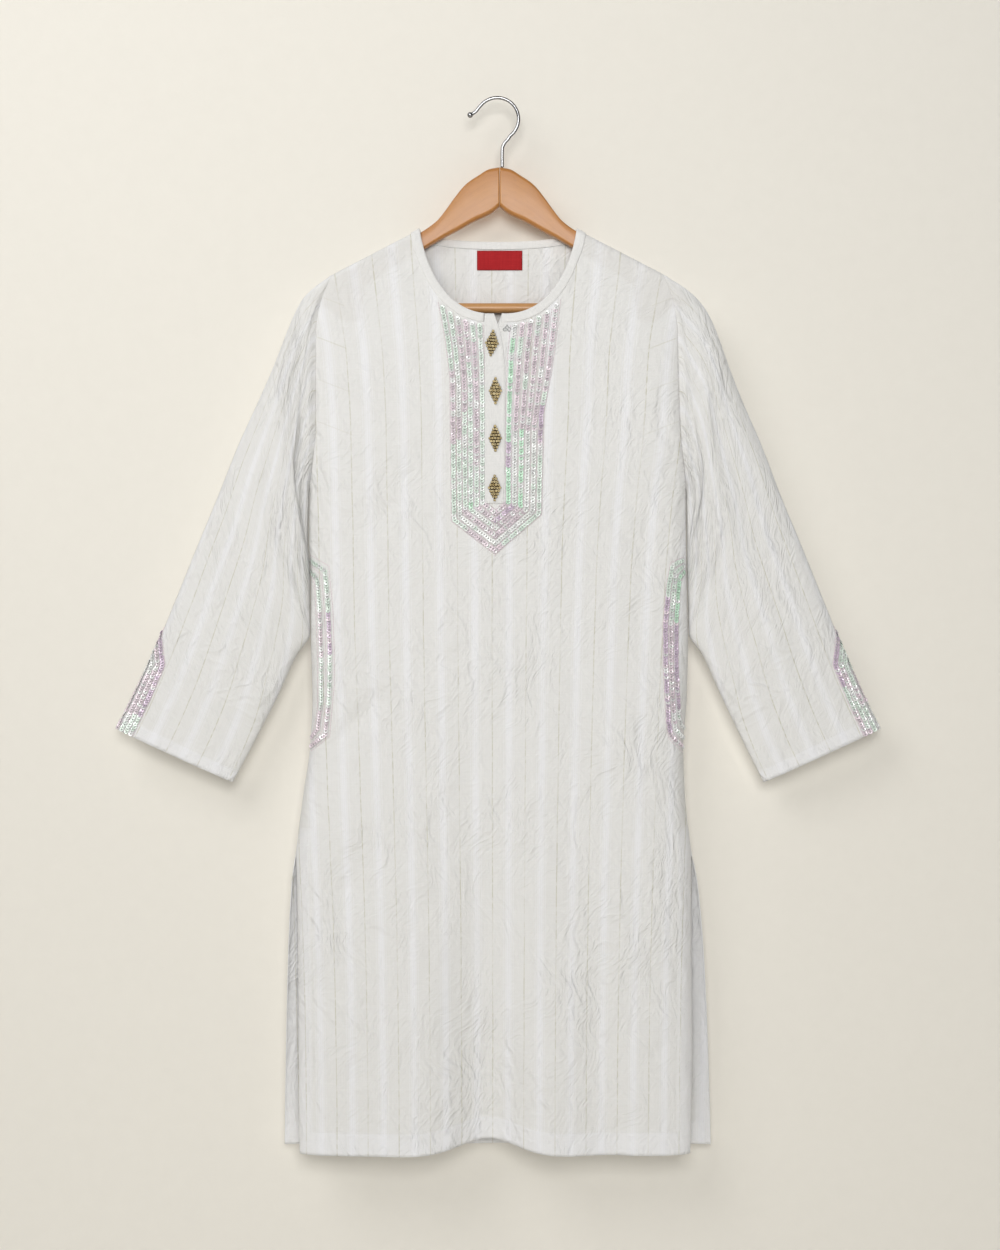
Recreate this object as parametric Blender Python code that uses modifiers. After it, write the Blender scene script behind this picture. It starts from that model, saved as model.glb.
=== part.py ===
"""A long-sleeved kurta tunic hanging on a wooden coat hanger.

Sizes are in millimetres and become metres when a mesh is made. A point of the garment is given
by its distance across (x, to the right as the front is seen), its drop below the point where the
hanger's hook bears, and its depth (y, towards the back). The frame has +Z up, the garment's front
faces -Y, and the origin is the bearing point under the top of the hook.

Each cloth piece is an open surface worked out from sections, thickened inwards by Solidify.
"""

import math
from collections import namedtuple

import bmesh
import bpy
import numpy as np

METRES = 0.001

# ------------------------------------------------------------------ cloth and seams
WALL = 1.2  # cloth with its seam allowances, as one wall
LAID_WALL = 0.9  # binding and placket strips
FACING_WALL = 0.6
SEAM_GAP = 0.3
SEAM_LIP = 1.5  # straight strip that a panel ends with at a seam

# ------------------------------------------------------------------ neck and shoulders
NECK_HALF = 86.5
NECK_TOP = 143.5
FRONT_NECK_DEPTH = 91.5
BACK_NECK_DEPTH = 12.2
SHOULDER_END = 180.0
SHOULDER_SLOPE = 0.52
COLLAR_SLOPE = 0.30  # slope of the ridge line inside the neck
SHOULDER_WRAP = 7.0  # drop over which the cloth turns down over the hanger
WRAP_POWER = 2.6
SHOULDER_TIP = NECK_TOP + SHOULDER_SLOPE * (SHOULDER_END - NECK_HALF)

# ------------------------------------------------------------------ body
UNDERARM = 429.0
UNDERARM_ROUND = 56.0  # height over which front and back close at the underarm
LIP_START = 12.0  # height over which the seam's straight strip begins below the armhole
UNDERARM_EASE = 0.4  # the seam stands open by this much more, each side, just at the underarm
UNDERARM_EASE_SPAN = 20.0
VENT_TOP = 825.0
HEM = 1151.0
SIDE_POWER = 9.0  # how squarely a section turns at its side edge

Edge = namedtuple("Edge", "drop left right")
SIDE_SEAM = [
    Edge(SHOULDER_TIP, -180, 180),
    Edge(222, -193, 191),
    Edge(253, -199, 196),
    Edge(308, -200, 197.5),
    Edge(364, -200, 199.5),
    Edge(400, -203.5, 203),
    Edge(UNDERARM, -207, 206),
    Edge(484, -208, 206.5),
    Edge(522, -206, 207),
    Edge(594, -205.5, 208.5),
    Edge(660, -204, 207),
    Edge(710, -206.5, 203.5),
    Edge(760, -213.5, 205),
    Edge(VENT_TOP, -222, 212),
]
FRONT_VENT = [
    Edge(VENT_TOP, -222, 212),
    Edge(880, -220.5, 212),
    Edge(990, -218.5, 212),
    Edge(1100, -217, 210.5),
    Edge(HEM, -216, 209),
]
BACK_VENT = [
    Edge(VENT_TOP, -222, 212),
    Edge(860, -227, 219),
    Edge(935, -231, 226),
    Edge(1045, -234, 231.5),
    Edge(HEM, -236, 235),
]

Depth = namedtuple("Depth", "drop edge centre")
FRONT_DEPTH = [
    Depth(NECK_TOP, 9.0, 9.0),
    Depth(235, 10.5, 13),
    Depth(275, 8.5, 16),
    Depth(330, 7, 18),
    Depth(UNDERARM, 7, 21),
    Depth(600, 14, 25),
    Depth(VENT_TOP, 14, 31),
    Depth(HEM, 14, 37),
]
BACK_DEPTH = [
    Depth(NECK_TOP, 9.0, 9.0),
    Depth(235, 10, 10.5),
    Depth(330, 7, 12),
    Depth(600, 9, 13),
    Depth(HEM, 9, 15),
]
FRONT_VENT_SPREAD = 21.0  # how far the open vent's front and back edges stand apart at the hem
BACK_VENT_SPREAD = 12.0
VENT_FLARE = 0.8  # share of a smooth step that the vent opens through

# Soft folds. A fold runs from its top to its foot, and a positive height stands out from the
# body. One that reaches the hem grows all the way down, and any other is highest halfway.
Fold = namedtuple("Fold", "top_x top foot_x foot top_width foot_width height to_hem")
FRONT_FOLDS = [
    Fold(-26, 620, -11, HEM, 30, 38, -27, True),
    Fold(66, 560, 118, HEM, 24, 28, -5, True),
    Fold(40, 640, 56, HEM, 26, 30, 4, True),
    Fold(-105, 700, -92, HEM, 34, 40, 5, True),
    Fold(-62, 360, -180, 520, 20, 24, -3.2, False),
    Fold(-122, 640, -196, 745, 18, 20, -4.5, False),
    Fold(-128, 790, -190, 930, 20, 24, -4.5, False),
    Fold(160, 420, 150, 640, 18, 20, -2.4, False),
]
BACK_FOLDS = [
    Fold(-70, 420, -86, HEM, 30, 38, -6, True),
    Fold(64, 470, 88, HEM, 30, 36, -5, True),
    Fold(0, 520, 6, HEM, 34, 40, 3.5, True),
    Fold(104, 290, 160, 520, 24, 28, -2.2, False),
    Fold(-108, 300, -164, 540, 24, 28, -2.2, False),
]
FOLD_END = 40.0  # height over which a fold fades out at its ends
FOLD_GROWTH = 1.4  # power with which a fold grows towards the hem
FOLD_SIDE_FADE = 6  # folds fade over this fraction of the half-width, 1 in 6, at a side edge
SLOPE_STEP = 0.5  # over which a panel's slope is taken

# The front hem is drawn up where the middle fold turns in.
HEM_LIFT = 12.5
HEM_LIFT_X = -11.0
HEM_LIFT_WIDTH = 44.0
HEM_LIFT_TOP = 850.0

# ------------------------------------------------------------------ front slit and placket
SLIT_FOOT = 440.0
SLIT_X = -9.0  # the cut, hidden under the placket
PLACKET_LEFT = -14.5
PLACKET_TOP = NECK_TOP + FRONT_NECK_DEPTH
PLACKET_FOOT = 445.0
BAND_WIDTH = 9.0  # binding along the neckline
SEAM_RISE = 0.5  # the binding stands out by this much more where it crosses the shoulder seam
SEAM_RISE_SPAN = 0.1  # as a share of the neckline's depth

Slit = namedtuple("Slit", "drop placket_edge under_edge")
SLIT_EDGES = [
    Slit(235, -4.6, 4.2),
    Slit(249, -0.6, -0.2),
    Slit(262, 3.0, -5.0),
    Slit(280, 5.6, -8.7),
    Slit(300, 7.4, -8.7),
    Slit(384, 7.2, -8.7),
    Slit(SLIT_FOOT, 5.6, -8.7),
]

# ------------------------------------------------------------------ rows and columns of the panels
# Rows cross a panel from its armhole and side edge to its inner edge. The first ones end on the
# neckline, at these distances below the neck point, and the front's next ones end on its slit.
ARMHOLE = [0.9, 2.6, 7, 18, 36, 58, 84, 110, 136, 160, 182, 200, 214, 226, UNDERARM - SHOULDER_TIP]
FRONT_NECK = [0.9, 2.6, 7, 19, 36, 56, 76, 88.5, 91.3]
BACK_NECK = [0.5, 1.8, 4.5, 8.5, 11.2, 12.2]
SLIT_DROPS = [249, 265, 300, 345, 395, SLIT_FOOT]
BODY_ROWS = [455, 484, 522, 560, 600, 640, 680, 720, 760, 795, VENT_TOP]
BODY_ROWS += [865, 910, 960, 1010, 1060, 1110, HEM]
COLUMNS = [0, 0.006, 0.022, 0.055, 0.11, 0.18, 0.27, 0.37, 0.47, 0.57, 0.67, 0.77, 0.88, 1]

# ------------------------------------------------------------------ sleeves
# Sections of a sleeve: the outer and inner ends of each, the half-depths, how squarely it turns at
# its ends, how far it clears the armhole halfway down, and how much further out the right sleeve
# hangs there. An inner end that lies against the body has no x of its own.
Ring = namedtuple("Ring", "outer_x outer inner_x inner front back power clears right_out")
AGAINST_BODY = 0.0
SLEEVE = [
    Ring(187, 196.4, AGAINST_BODY, 434, 12.5, 12, 7, 5, 0),
    Ring(200, 205.5, AGAINST_BODY, 443, 13.5, 12.5, 6, 10, 2),
    Ring(213, 217.5, AGAINST_BODY, 456, 14.5, 13, 4, 14, 4),
    Ring(222, 233, AGAINST_BODY, 472, 17, 14, 3.4, 17, 7),
    Ring(231, 254, AGAINST_BODY, 490, 20, 15, 3, 19, 8),
    Ring(245, 290, AGAINST_BODY, 512, 22, 16, 2.8, 0, 7),
    Ring(264, 333, AGAINST_BODY, 537, 22, 16.5, 2.6, 0, 5),
    Ring(285, 379, AGAINST_BODY, 561, 21, 16.5, 2.5, 0, 4),
    Ring(307, 434, AGAINST_BODY, 586, 19.5, 16, 2.4, 0, 3),
    Ring(331, 492, 222, 612, 17.5, 15, 2.4, 0, 3),
    Ring(354, 549, 239, 649, 15.5, 13.5, 2.4, 0, 3),
    Ring(377, 604, 256, 683, 13.5, 12, 2.4, 0, 2),
    Ring(399, 652, 274, 718, 11.5, 10.5, 2.4, 0, 1),
    Ring(419, 691.5, 291.5, 750, 10, 9, 2.4, 0, 0),
]
SLEEVE_CLEAR = 0.8  # between the sleeve and the body's side
AROUND = [0.0] + [drop / ARMHOLE[-1] for drop in ARMHOLE]  # places from outer to inner end

SleeveFold = namedtuple("SleeveFold", "place width height first last")
SLEEVE_FOLDS = [
    SleeveFold(0.30, 0.10, -3.5, 2, 10),
    SleeveFold(0.66, 0.09, -4.0, 1, 9),
    SleeveFold(0.47, 0.10, 2.5, 5, 13),
]

# ------------------------------------------------------------------ fastenings, label and facings
Button = namedtuple("Button", "x drop tilt")
BUTTONS = [
    Button(-6.8, 270.5, 6),
    Button(-3.0, 322.5, 0),
    Button(-3.2, 374.5, -1),
    Button(-3.8, 428.5, 0),
]
BUTTON_HALF_WIDTH = 7.3
BUTTON_HALF_HEIGHT = 15.3
BUTTON_THICK = 2.6
BUTTON_POWER = 1.25  # outline between a rhombus (1) and an ellipse (2)
HOOK_EYE_CENTRE = (9.6, 253.0)
HOOK_EYE_RING = 1.7
HOOK_EYE_REACH = 4.2
HOOK_EYE_WIRE = 0.45
HOOK_EYE_SPREAD = 1.4  # from the middle to a ring's centre, in ring radii
HOOK_EYE_BILL = 0.55  # half-width and roundness of the bill
LABEL_HALF_WIDTH = 25.0
LABEL_HALF_HEIGHT = 10.8
LABEL_CENTRE = (1.6, 175.5)

FACING_DROPS = [216, 245, 275, 305, 335, 360, 384]
FACING_COLUMNS = COLUMNS[3:6]  # it lies between these columns of the front

# ------------------------------------------------------------------ hanger
HANGER_CENTRE = 1.5
HANGER_HALF_THICK = 6.5
HANGER_EDGE = 4.6
HANGER_SHARP = 70  # degrees past which an edge of the outline is rounded
ARM_TOP = [  # across and drop along the top of one arm, centre to tip
    (0, 75.2), (11, 77.2), (22, 83.5), (37, 94), (48, 107), (58, 121), (68, 133.5), (86, 146.6),
    (110, 159), (150, 180), (178, 195.4), (190, 203), (200, 212.5),
]
ARM_FOOT = [  # tip to centre along the underside, round the lobe that takes the bar
    (205, 221), (200, 229), (184, 230), (177, 239), (166, 245), (154, 244), (149, 238), (149, 216),
    (142, 201), (120, 186), (81, 164), (62, 153), (45, 144), (28, 134.5), (9, 125.5), (0, 118),
]
BAR_RADIUS = 5.5
BAR_DROP = 229.5
BAR_END = 149.0
HOOK_WIRE = 1.8
HOOK_RADIUS = 23.4
HOOK_CENTRE_X = -1.0
STEM_X = 4.4
STEM_FOOT = 75.4
STEM_BEND = [(4.4, 60.0), (4.6, 54.0), (6.8, 48.5), (11.0, 43.6)]
HOOK_TIP = [(-20.8, 8.6), (-23.9, 12.6), (-28.6, 16.1), (-33.7, 18.4)]
HOOK_BALL = 3.1
BALL_SWELL = [0.75, 1.0, 0.8, 0.3]  # shares of the ball's radius at the wire's last points
LOOP_START = -52.0  # degrees round the loop, from where the stem joins it to where the tip leaves it
LOOP_END = 138.0
LOOP_STEPS = 18


# ------------------------------------------------------------------ curves through the tables
def curve_through(stations, values):
    """A smooth curve through points that never swings past them: cubic spans with limited slopes."""
    xs, ys = np.array(stations, float), np.array(values, float)
    step = np.diff(xs)
    rise = np.diff(ys) / step
    same_way = rise[:-1] * rise[1:] > 0
    total = np.where(same_way, rise[:-1] + rise[1:], 1.0)
    middle = np.where(same_way, 2 * rise[:-1] * rise[1:] / total, 0.0)
    slope = np.concatenate([rise[:1], middle, rise[-1:]])

    def at(x):
        x = np.clip(x, xs[0], xs[-1])
        i = np.clip(np.searchsorted(xs, x) - 1, 0, len(xs) - 2)
        t = (x - xs[i]) / step[i]
        ends = ys[i] * (1 + 2 * t) * (1 - t) ** 2 + ys[i + 1] * t * t * (3 - 2 * t)
        return ends + step[i] * t * (1 - t) * (slope[i] * (1 - t) - slope[i + 1] * t)

    return at


def column(rows, name):
    """One named column of a table as a smooth curve over its drops."""
    return curve_through([row.drop for row in rows], [getattr(row, name) for row in rows])


def smooth_step(t):
    t = np.clip(t, 0.0, 1.0)
    return t * t * (3 - 2 * t)


PLACKET_EDGE = column(SLIT_EDGES, "placket_edge")
UNDER_EDGE = column(SLIT_EDGES, "under_edge")


# ------------------------------------------------------------------ the form of the body
def ridge(x):
    """Drop of the line on which the cloth lies over the hanger: the shoulder seam and, inside the
    neck, its continuation."""
    past = np.abs(x) - NECK_HALF
    return NECK_TOP + np.where(past > 0, SHOULDER_SLOPE, COLLAR_SLOPE) * past


def shoulder_wrap(below):
    """0 on the ridge, 1 once the cloth has turned down over the hanger."""
    t = np.clip(below / SHOULDER_WRAP, 0, 1)
    return (1 - (1 - t) ** WRAP_POWER) ** (1 / WRAP_POWER)


class Panel:
    """The front or back of the body: its side edges, its depth from the side seams' plane, and
    which way it faces (-1 for the front)."""

    def __init__(self, facing, vent, depth, folds, vent_spread):
        self.facing = facing
        self.folds = folds
        self.vent_spread = vent_spread
        self.seam = {-1: column(SIDE_SEAM, "left"), 1: column(SIDE_SEAM, "right")}
        self.vent = {-1: column(vent, "left"), 1: column(vent, "right")}
        self.edge_depth = column(depth, "edge")
        self.centre_depth = column(depth, "centre")

    def side(self, drop, side):
        """The side edge's x at a drop: the armhole and side seam, then the vent."""
        return np.where(drop <= VENT_TOP, self.seam[side](drop), self.vent[side](drop))

    def edge(self, drop):
        """Depth at the side edge: open at the armhole, closed at the side seam, open at the vent."""
        closing = np.clip((drop - (UNDERARM - UNDERARM_ROUND)) / UNDERARM_ROUND, 0, 1)
        armhole = self.edge_depth(drop) * np.sqrt(1 - closing**2)
        opening = np.clip((drop - VENT_TOP) / (HEM - VENT_TOP), 0, 1)
        return armhole + self.vent_spread * smooth_step(opening * VENT_FLARE) / smooth_step(VENT_FLARE)

    def fold_height(self, x, drop):
        """The sum of the folds, each a rounded ridge or trough across its own line."""
        total = np.zeros(np.broadcast(x, drop).shape)
        for fold in self.folds:
            along = np.clip((drop - fold.top) / (fold.foot - fold.top), 0, 1)
            middle = fold.top_x + (fold.foot_x - fold.top_x) * along
            width = fold.top_width + (fold.foot_width - fold.top_width) * along
            swell = along**FOLD_GROWTH if fold.to_hem else np.sin(math.pi * along)
            past = (fold.top - drop + np.maximum(drop - fold.foot, 0) * 2) / FOLD_END
            total += fold.height * swell * np.exp(-(((x - middle) / width) ** 2)) * (1 - smooth_step(past))
        return total

    def depth(self, x, drop):
        """Distance of the cloth's outer face from the side seams' plane."""
        left, right = self.side(drop, -1), self.side(drop, 1)
        inward = np.clip(1 - np.abs(2 * x - left - right) / (right - left), 0, 1)
        turned = np.sqrt(1 - (1 - inward) ** SIDE_POWER)
        edge = self.edge(drop)
        full = edge + (self.centre_depth(drop) - edge) * turned
        full = full + self.fold_height(x, drop) * smooth_step(inward * FOLD_SIDE_FADE)
        return full * shoulder_wrap(drop - ridge(x))

    def points(self, x, drop, lift=0.0):
        """Points on the outer face, moved out along its normal by lift."""
        step = SLOPE_STEP
        y = self.facing * self.depth(x, drop)
        if np.any(lift):
            across = (self.depth(x + step, drop) - self.depth(x - step, drop)) / (2 * step)
            down = (self.depth(x, drop + step) - self.depth(x, drop - step)) / (2 * step)
            scale = lift / np.sqrt(1 + across**2 + down**2)
            x, drop = x - across * scale, drop - down * scale
            y = y + self.facing * scale
        return np.stack([x, y, -drop], axis=-1)


FRONT = Panel(-1, FRONT_VENT, FRONT_DEPTH, FRONT_FOLDS, FRONT_VENT_SPREAD)
BACK = Panel(1, BACK_VENT, BACK_DEPTH, BACK_FOLDS, BACK_VENT_SPREAD)


def neck_x(below, neck_depth):
    """Half-width of the neckline at a distance below the neck point: a quarter ellipse."""
    return NECK_HALF * np.sqrt(np.clip(1 - (below / neck_depth) ** 2, 0, 1))


# ------------------------------------------------------------------ meshes
def material(name, colour, roughness, metallic=0.0):
    made = bpy.data.materials.new(name)
    made.use_nodes = True
    shader = made.node_tree.nodes["Principled BSDF"]
    shader.inputs["Base Color"].default_value = (*colour, 1)
    shader.inputs["Roughness"].default_value = roughness
    shader.inputs["Metallic"].default_value = metallic
    return made


def add_object(name, data, finish, collection):
    made = bpy.data.objects.new(name, data)
    data.materials.append(finish)
    collection.objects.link(made)
    return made


def grid_faces(rows, columns, flip=False, closed=False):
    """Quads between the rows and columns of a grid of points, closed round each row if asked."""
    faces = []
    for row in range(rows - 1):
        for here in range(columns if closed else columns - 1):
            after = (here + 1) % columns
            quad = (row * columns + here, (row + 1) * columns + here)
            quad += ((row + 1) * columns + after, row * columns + after)
            faces.append(quad[::-1] if flip else quad)
    return faces


def mesh_from(name, points, faces):
    """A mesh in metres whose coinciding points are joined."""
    mesh = bpy.data.meshes.new(name)
    mesh.from_pydata([tuple(point) for point in np.reshape(points, (-1, 3)) * METRES], [], faces)
    work = bmesh.new()
    work.from_mesh(mesh)
    bmesh.ops.remove_doubles(work, verts=work.verts, dist=1e-7)
    work.to_mesh(mesh)
    work.free()
    mesh.shade_smooth()
    return mesh


def cloth(name, points, faces, wall, finish, collection):
    """A surface thickened inwards into a closed wall."""
    made = add_object(name, mesh_from(name, points, faces), finish, collection)
    thick = made.modifiers.new("cloth thickness", "SOLIDIFY")
    thick.thickness = wall * METRES
    thick.offset = -1
    thick.use_even_offset = True
    return made


# ------------------------------------------------------------------ body panels
def panel_half(panel, side, outer_drop, inner_x, inner_drop):
    """Grid of one half of a panel, from its side edge to its inner edge. The first column and the
    first row are the seam edges, and the second ones end the straight strip beside them."""
    outer_x = panel.side(outer_drop, side)
    t = np.array(COLUMNS)
    x = outer_x[:, None] + (inner_x - outer_x)[:, None] * t
    drop = outer_drop[:, None] + (inner_drop - outer_drop)[:, None] * t
    joined = smooth_step((outer_drop - UNDERARM + LIP_START) / LIP_START)
    x[:, 1] += (x[:, 0] - x[:, 1]) * joined
    points = panel.points(x, drop)
    ease = UNDERARM_EASE * (1 - smooth_step(np.abs(outer_drop - UNDERARM) / UNDERARM_EASE_SPAN))
    reach = np.maximum(np.abs(points[:, 0, 1]), SEAM_GAP / 2 + ease)
    points[:, 0, 1] = panel.facing * reach
    lip = reach + SEAM_LIP * joined
    points[:, 1, 1] = panel.facing * np.maximum(np.abs(points[:, 1, 1]) * (1 - joined), lip)
    seam = points[:1].copy()
    seam[..., 1] = panel.facing * SEAM_GAP / 2
    points[:1, :, 1] = panel.facing * (SEAM_GAP / 2 + SEAM_LIP)
    return np.concatenate([seam, points])


def body_panel(name, panel, rows, hem_lift, finish, collection):
    """A panel from its two halves, open between them down to the first row that reaches the
    middle of both."""
    outer_drop, left_x, right_x, inner_drop = (np.array(values, float) for values in zip(*rows))
    left = panel_half(panel, -1, outer_drop, left_x, inner_drop)
    right = panel_half(panel, 1, outer_drop, right_x, inner_drop)
    points = np.concatenate([left, right[:, ::-1]], axis=1)
    x, z = points[..., 0], points[..., 2]
    points[..., 2] = z + hem_lift * smooth_step((-z - HEM_LIFT_TOP) / (HEM - HEM_LIFT_TOP)) * np.exp(
        -(((x - HEM_LIFT_X) / HEM_LIFT_WIDTH) ** 2)
    )
    middle = len(COLUMNS) - 1
    faces = [
        quad
        for quad in grid_faces(len(points), 2 * len(COLUMNS), flip=panel.facing > 0)
        if min(corner % (2 * len(COLUMNS)) for corner in quad) != middle
    ]
    return cloth(name, points, faces, WALL, finish, collection)


def front_rows():
    """(armhole or side drop, left inner x, right inner x, inner drop) of each row of the front."""
    outer = SHOULDER_TIP + np.array(ARMHOLE)
    rows = [(SHOULDER_TIP, -NECK_HALF, NECK_HALF, NECK_TOP)]
    for drop, below in zip(outer, FRONT_NECK):
        half = neck_x(below, FRONT_NECK_DEPTH)
        rows.append((drop, min(-half, SLIT_X - SEAM_GAP), half, NECK_TOP + below))
    for drop, inner in zip(outer[len(FRONT_NECK) : -1], SLIT_DROPS):
        rows.append((drop, SLIT_X - SEAM_GAP, float(UNDER_EDGE(inner)), inner))
    rows.append((UNDERARM, SLIT_X, SLIT_X, SLIT_FOOT))
    return rows + [(drop, SLIT_X, SLIT_X, drop) for drop in BODY_ROWS]


def back_rows():
    """The same for the back, which is whole below its neckline."""
    outer = SHOULDER_TIP + np.array(ARMHOLE)
    rows = [(SHOULDER_TIP, -NECK_HALF, NECK_HALF, NECK_TOP)]
    for drop, below in zip(outer, BACK_NECK):
        half = neck_x(below, BACK_NECK_DEPTH)
        rows.append((drop, -half, half, NECK_TOP + below))
    whole = list(outer[len(BACK_NECK) :]) + BODY_ROWS[::2] + [HEM]
    return rows + [(drop, 0, 0, drop) for drop in whole]


# ------------------------------------------------------------------ sleeves
def sleeve_section(side, ring):
    """One section: from its outer end along the front to its inner end, and back along the back."""
    t = np.array(AROUND)
    inner_x = side * (ring.inner_x + (ring.right_out if side > 0 else 0))
    if ring.inner_x == AGAINST_BODY:
        inner_x = FRONT.side(ring.inner, side) + side * SLEEVE_CLEAR
    outer_x = side * (ring.outer_x + (ring.right_out if side > 0 else 0))
    drop = ring.outer + (ring.inner - ring.outer) * t
    clear = np.abs(FRONT.side(drop, side)) + SLEEVE_CLEAR + ring.clears * 4 * t * (1 - t)
    x = side * np.maximum(np.abs(outer_x + (inner_x - outer_x) * t), clear)
    swell = (1 - np.abs(2 * t - 1) ** ring.power) ** (1 / ring.power)
    return loop_of(x, drop, -ring.front * swell, ring.back * swell)


def loop_of(x, drop, front_y, back_y):
    front = np.stack([x, front_y, -drop], axis=-1)
    back = np.stack([x, back_y, -drop], axis=-1)
    return np.concatenate([front, back[-2:0:-1]])


def armhole_section(side):
    """The sleeve's first section follows the armhole edges of the two panels."""
    drop = SHOULDER_TIP + (UNDERARM - SHOULDER_TIP) * np.array(AROUND)
    x = FRONT.side(drop, side)
    front, back = FRONT.depth(x, drop), BACK.depth(x, drop)
    return loop_of(x + side * SEAM_GAP, drop, -front, back)


def sleeve(name, side, finish, collection):
    sections = np.array([armhole_section(side)] + [sleeve_section(side, ring) for ring in SLEEVE])
    place = np.concatenate([AROUND, np.array(AROUND)[-2:0:-1]])
    facing = np.where(np.arange(len(place)) < len(AROUND), -1, 1)
    for fold in SLEEVE_FOLDS:
        ring = np.arange(len(sections))
        along = np.sin(math.pi * np.clip((ring - fold.first) / (fold.last - fold.first), 0, 1))
        across = np.exp(-(((place - fold.place) / fold.width) ** 2))
        sections[..., 1] += facing * fold.height * along[:, None] * across
    faces = grid_faces(*sections.shape[:2], flip=side > 0, closed=True)
    return cloth(name, sections, faces, WALL, finish, collection)


# ------------------------------------------------------------------ pieces laid on the panels
def laid_strip(name, panel, x, drop, lift, wall, finish, collection):
    """A strip over a grid of places on a panel, its outer face lifted by lift."""
    points = panel.points(x, drop, lift)
    faces = grid_faces(*x.shape, flip=panel.facing > 0)
    return cloth(name, points, faces, wall, finish, collection)


def with_middles(values):
    """The values with each span between them halved."""
    values = np.array(values, float)
    return np.sort(np.concatenate([values, (values[1:] + values[:-1]) / 2]))


def band_stations(panel, below, neck_depth, side):
    """Grid of places across the neck binding, a row for each distance below the neck point. It lies
    square to the neckline, a quarter ellipse, and lower by the shoulder's slope where it runs out
    over the shoulder."""
    across = np.linspace(0, BAND_WIDTH, 5)
    deep = np.clip(below / neck_depth, 0, 1)
    out_x, out_drop = np.sqrt(1 - deep**2) / NECK_HALF, deep / neck_depth
    length = np.hypot(out_x, out_drop)
    x = neck_x(below, neck_depth)[:, None] + across * (out_x / length)[:, None]
    drop = NECK_TOP + below[:, None] + across * (out_drop / length)[:, None]
    drop = drop + SHOULDER_SLOPE * np.maximum(x - NECK_HALF, 0)
    rise = SEAM_RISE * np.exp(-((deep / SEAM_RISE_SPAN) ** 2))[:, None]
    return panel.points(side * x, drop, SEAM_GAP + LAID_WALL + rise)


def neck_band(finish, collection):
    """One binding strip: from the placket up the left front, round the back neck, and down the
    right front to the slit."""
    front = with_middles([0.0] + FRONT_NECK)
    back = with_middles(with_middles([0.0] + BACK_NECK))
    left_end = FRONT_NECK_DEPTH * math.sqrt(1 - ((PLACKET_LEFT - SEAM_GAP) / NECK_HALF) ** 2)
    right_end = FRONT_NECK_DEPTH * math.sqrt(1 - (float(UNDER_EDGE(235)) / NECK_HALF) ** 2)
    left_front = np.append(front[front < left_end - 1], left_end)
    right_front = np.append(front[front < right_end - 1], right_end)
    pieces = []
    for side, places in ((-1, left_front), (1, right_front)):
        over_front = band_stations(FRONT, places, FRONT_NECK_DEPTH, side)
        over_back = band_stations(BACK, back, BACK_NECK_DEPTH, side)
        ridge_row = (over_front[:1] + over_back[:1]) / 2
        half = np.concatenate([over_front[:0:-1], ridge_row, over_back[1:]])
        pieces.append(half)
    left, right = pieces
    points = np.concatenate([left, right[-2::-1]])
    faces = grid_faces(*points.shape[:2])
    return cloth("neck_band", points, faces, LAID_WALL, finish, collection)


def placket(finish, collection):
    drop = np.array([PLACKET_TOP, 242, 249, 256, 265, 285, 310, 340, 372, 405, 430, PLACKET_FOOT])
    right = PLACKET_EDGE(drop)
    t = np.array([0.0, 0.5, 1.0])
    x = PLACKET_LEFT + (right - PLACKET_LEFT)[:, None] * t
    drop = np.broadcast_to(drop[:, None], x.shape)
    laid_strip("placket_strip", FRONT, x, drop, SEAM_GAP + LAID_WALL, LAID_WALL, finish, collection)


def armhole_facing(name, side, finish, collection):
    drop = np.array(FACING_DROPS, float)
    x = FRONT.side(drop, side)[:, None] * (1 - np.array(FACING_COLUMNS))
    x = x[:, ::-side]
    drop = np.broadcast_to(drop[:, None], x.shape)
    laid_strip(name, FRONT, x, drop, -(WALL + SEAM_GAP), FACING_WALL, finish, collection)


def label(finish, collection):
    x = LABEL_CENTRE[0] + np.linspace(-LABEL_HALF_WIDTH, LABEL_HALF_WIDTH, 5)
    drop = LABEL_CENTRE[1] + np.linspace(-LABEL_HALF_HEIGHT, LABEL_HALF_HEIGHT, 3)
    x, drop = np.meshgrid(x, drop)
    laid_strip("label", BACK, x, drop, -(WALL + SEAM_GAP), FACING_WALL, finish, collection)


def button(name, place, finish, collection):
    """A domed lozenge on the placket: rings of one outline, from its flat back edge to its crown."""
    angle = np.linspace(0, 2 * math.pi, 20, endpoint=False)
    across = np.sign(np.cos(angle)) * np.abs(np.cos(angle)) ** (2 / BUTTON_POWER) * BUTTON_HALF_WIDTH
    down = np.sign(np.sin(angle)) * np.abs(np.sin(angle)) ** (2 / BUTTON_POWER) * BUTTON_HALF_HEIGHT
    tilt = math.radians(place.tilt)
    base = 2 * SEAM_GAP + LAID_WALL
    size = np.array([0.0, 0.96, 1.0, 0.88, 0.5, 0.0])
    rise = np.array([0.0, 0.0, 0.35, 0.75, 0.95, 1.0]) * BUTTON_THICK
    rings = []
    for scale, height in zip(size, rise):
        x = place.x + scale * (across * math.cos(tilt) - down * math.sin(tilt))
        drop = place.drop + scale * (across * math.sin(tilt) + down * math.cos(tilt))
        rings.append(FRONT.points(x, drop, base + height))
    faces = grid_faces(len(size), len(angle), closed=True)
    return add_object(name, mesh_from(name, rings, faces), finish, collection)


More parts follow.
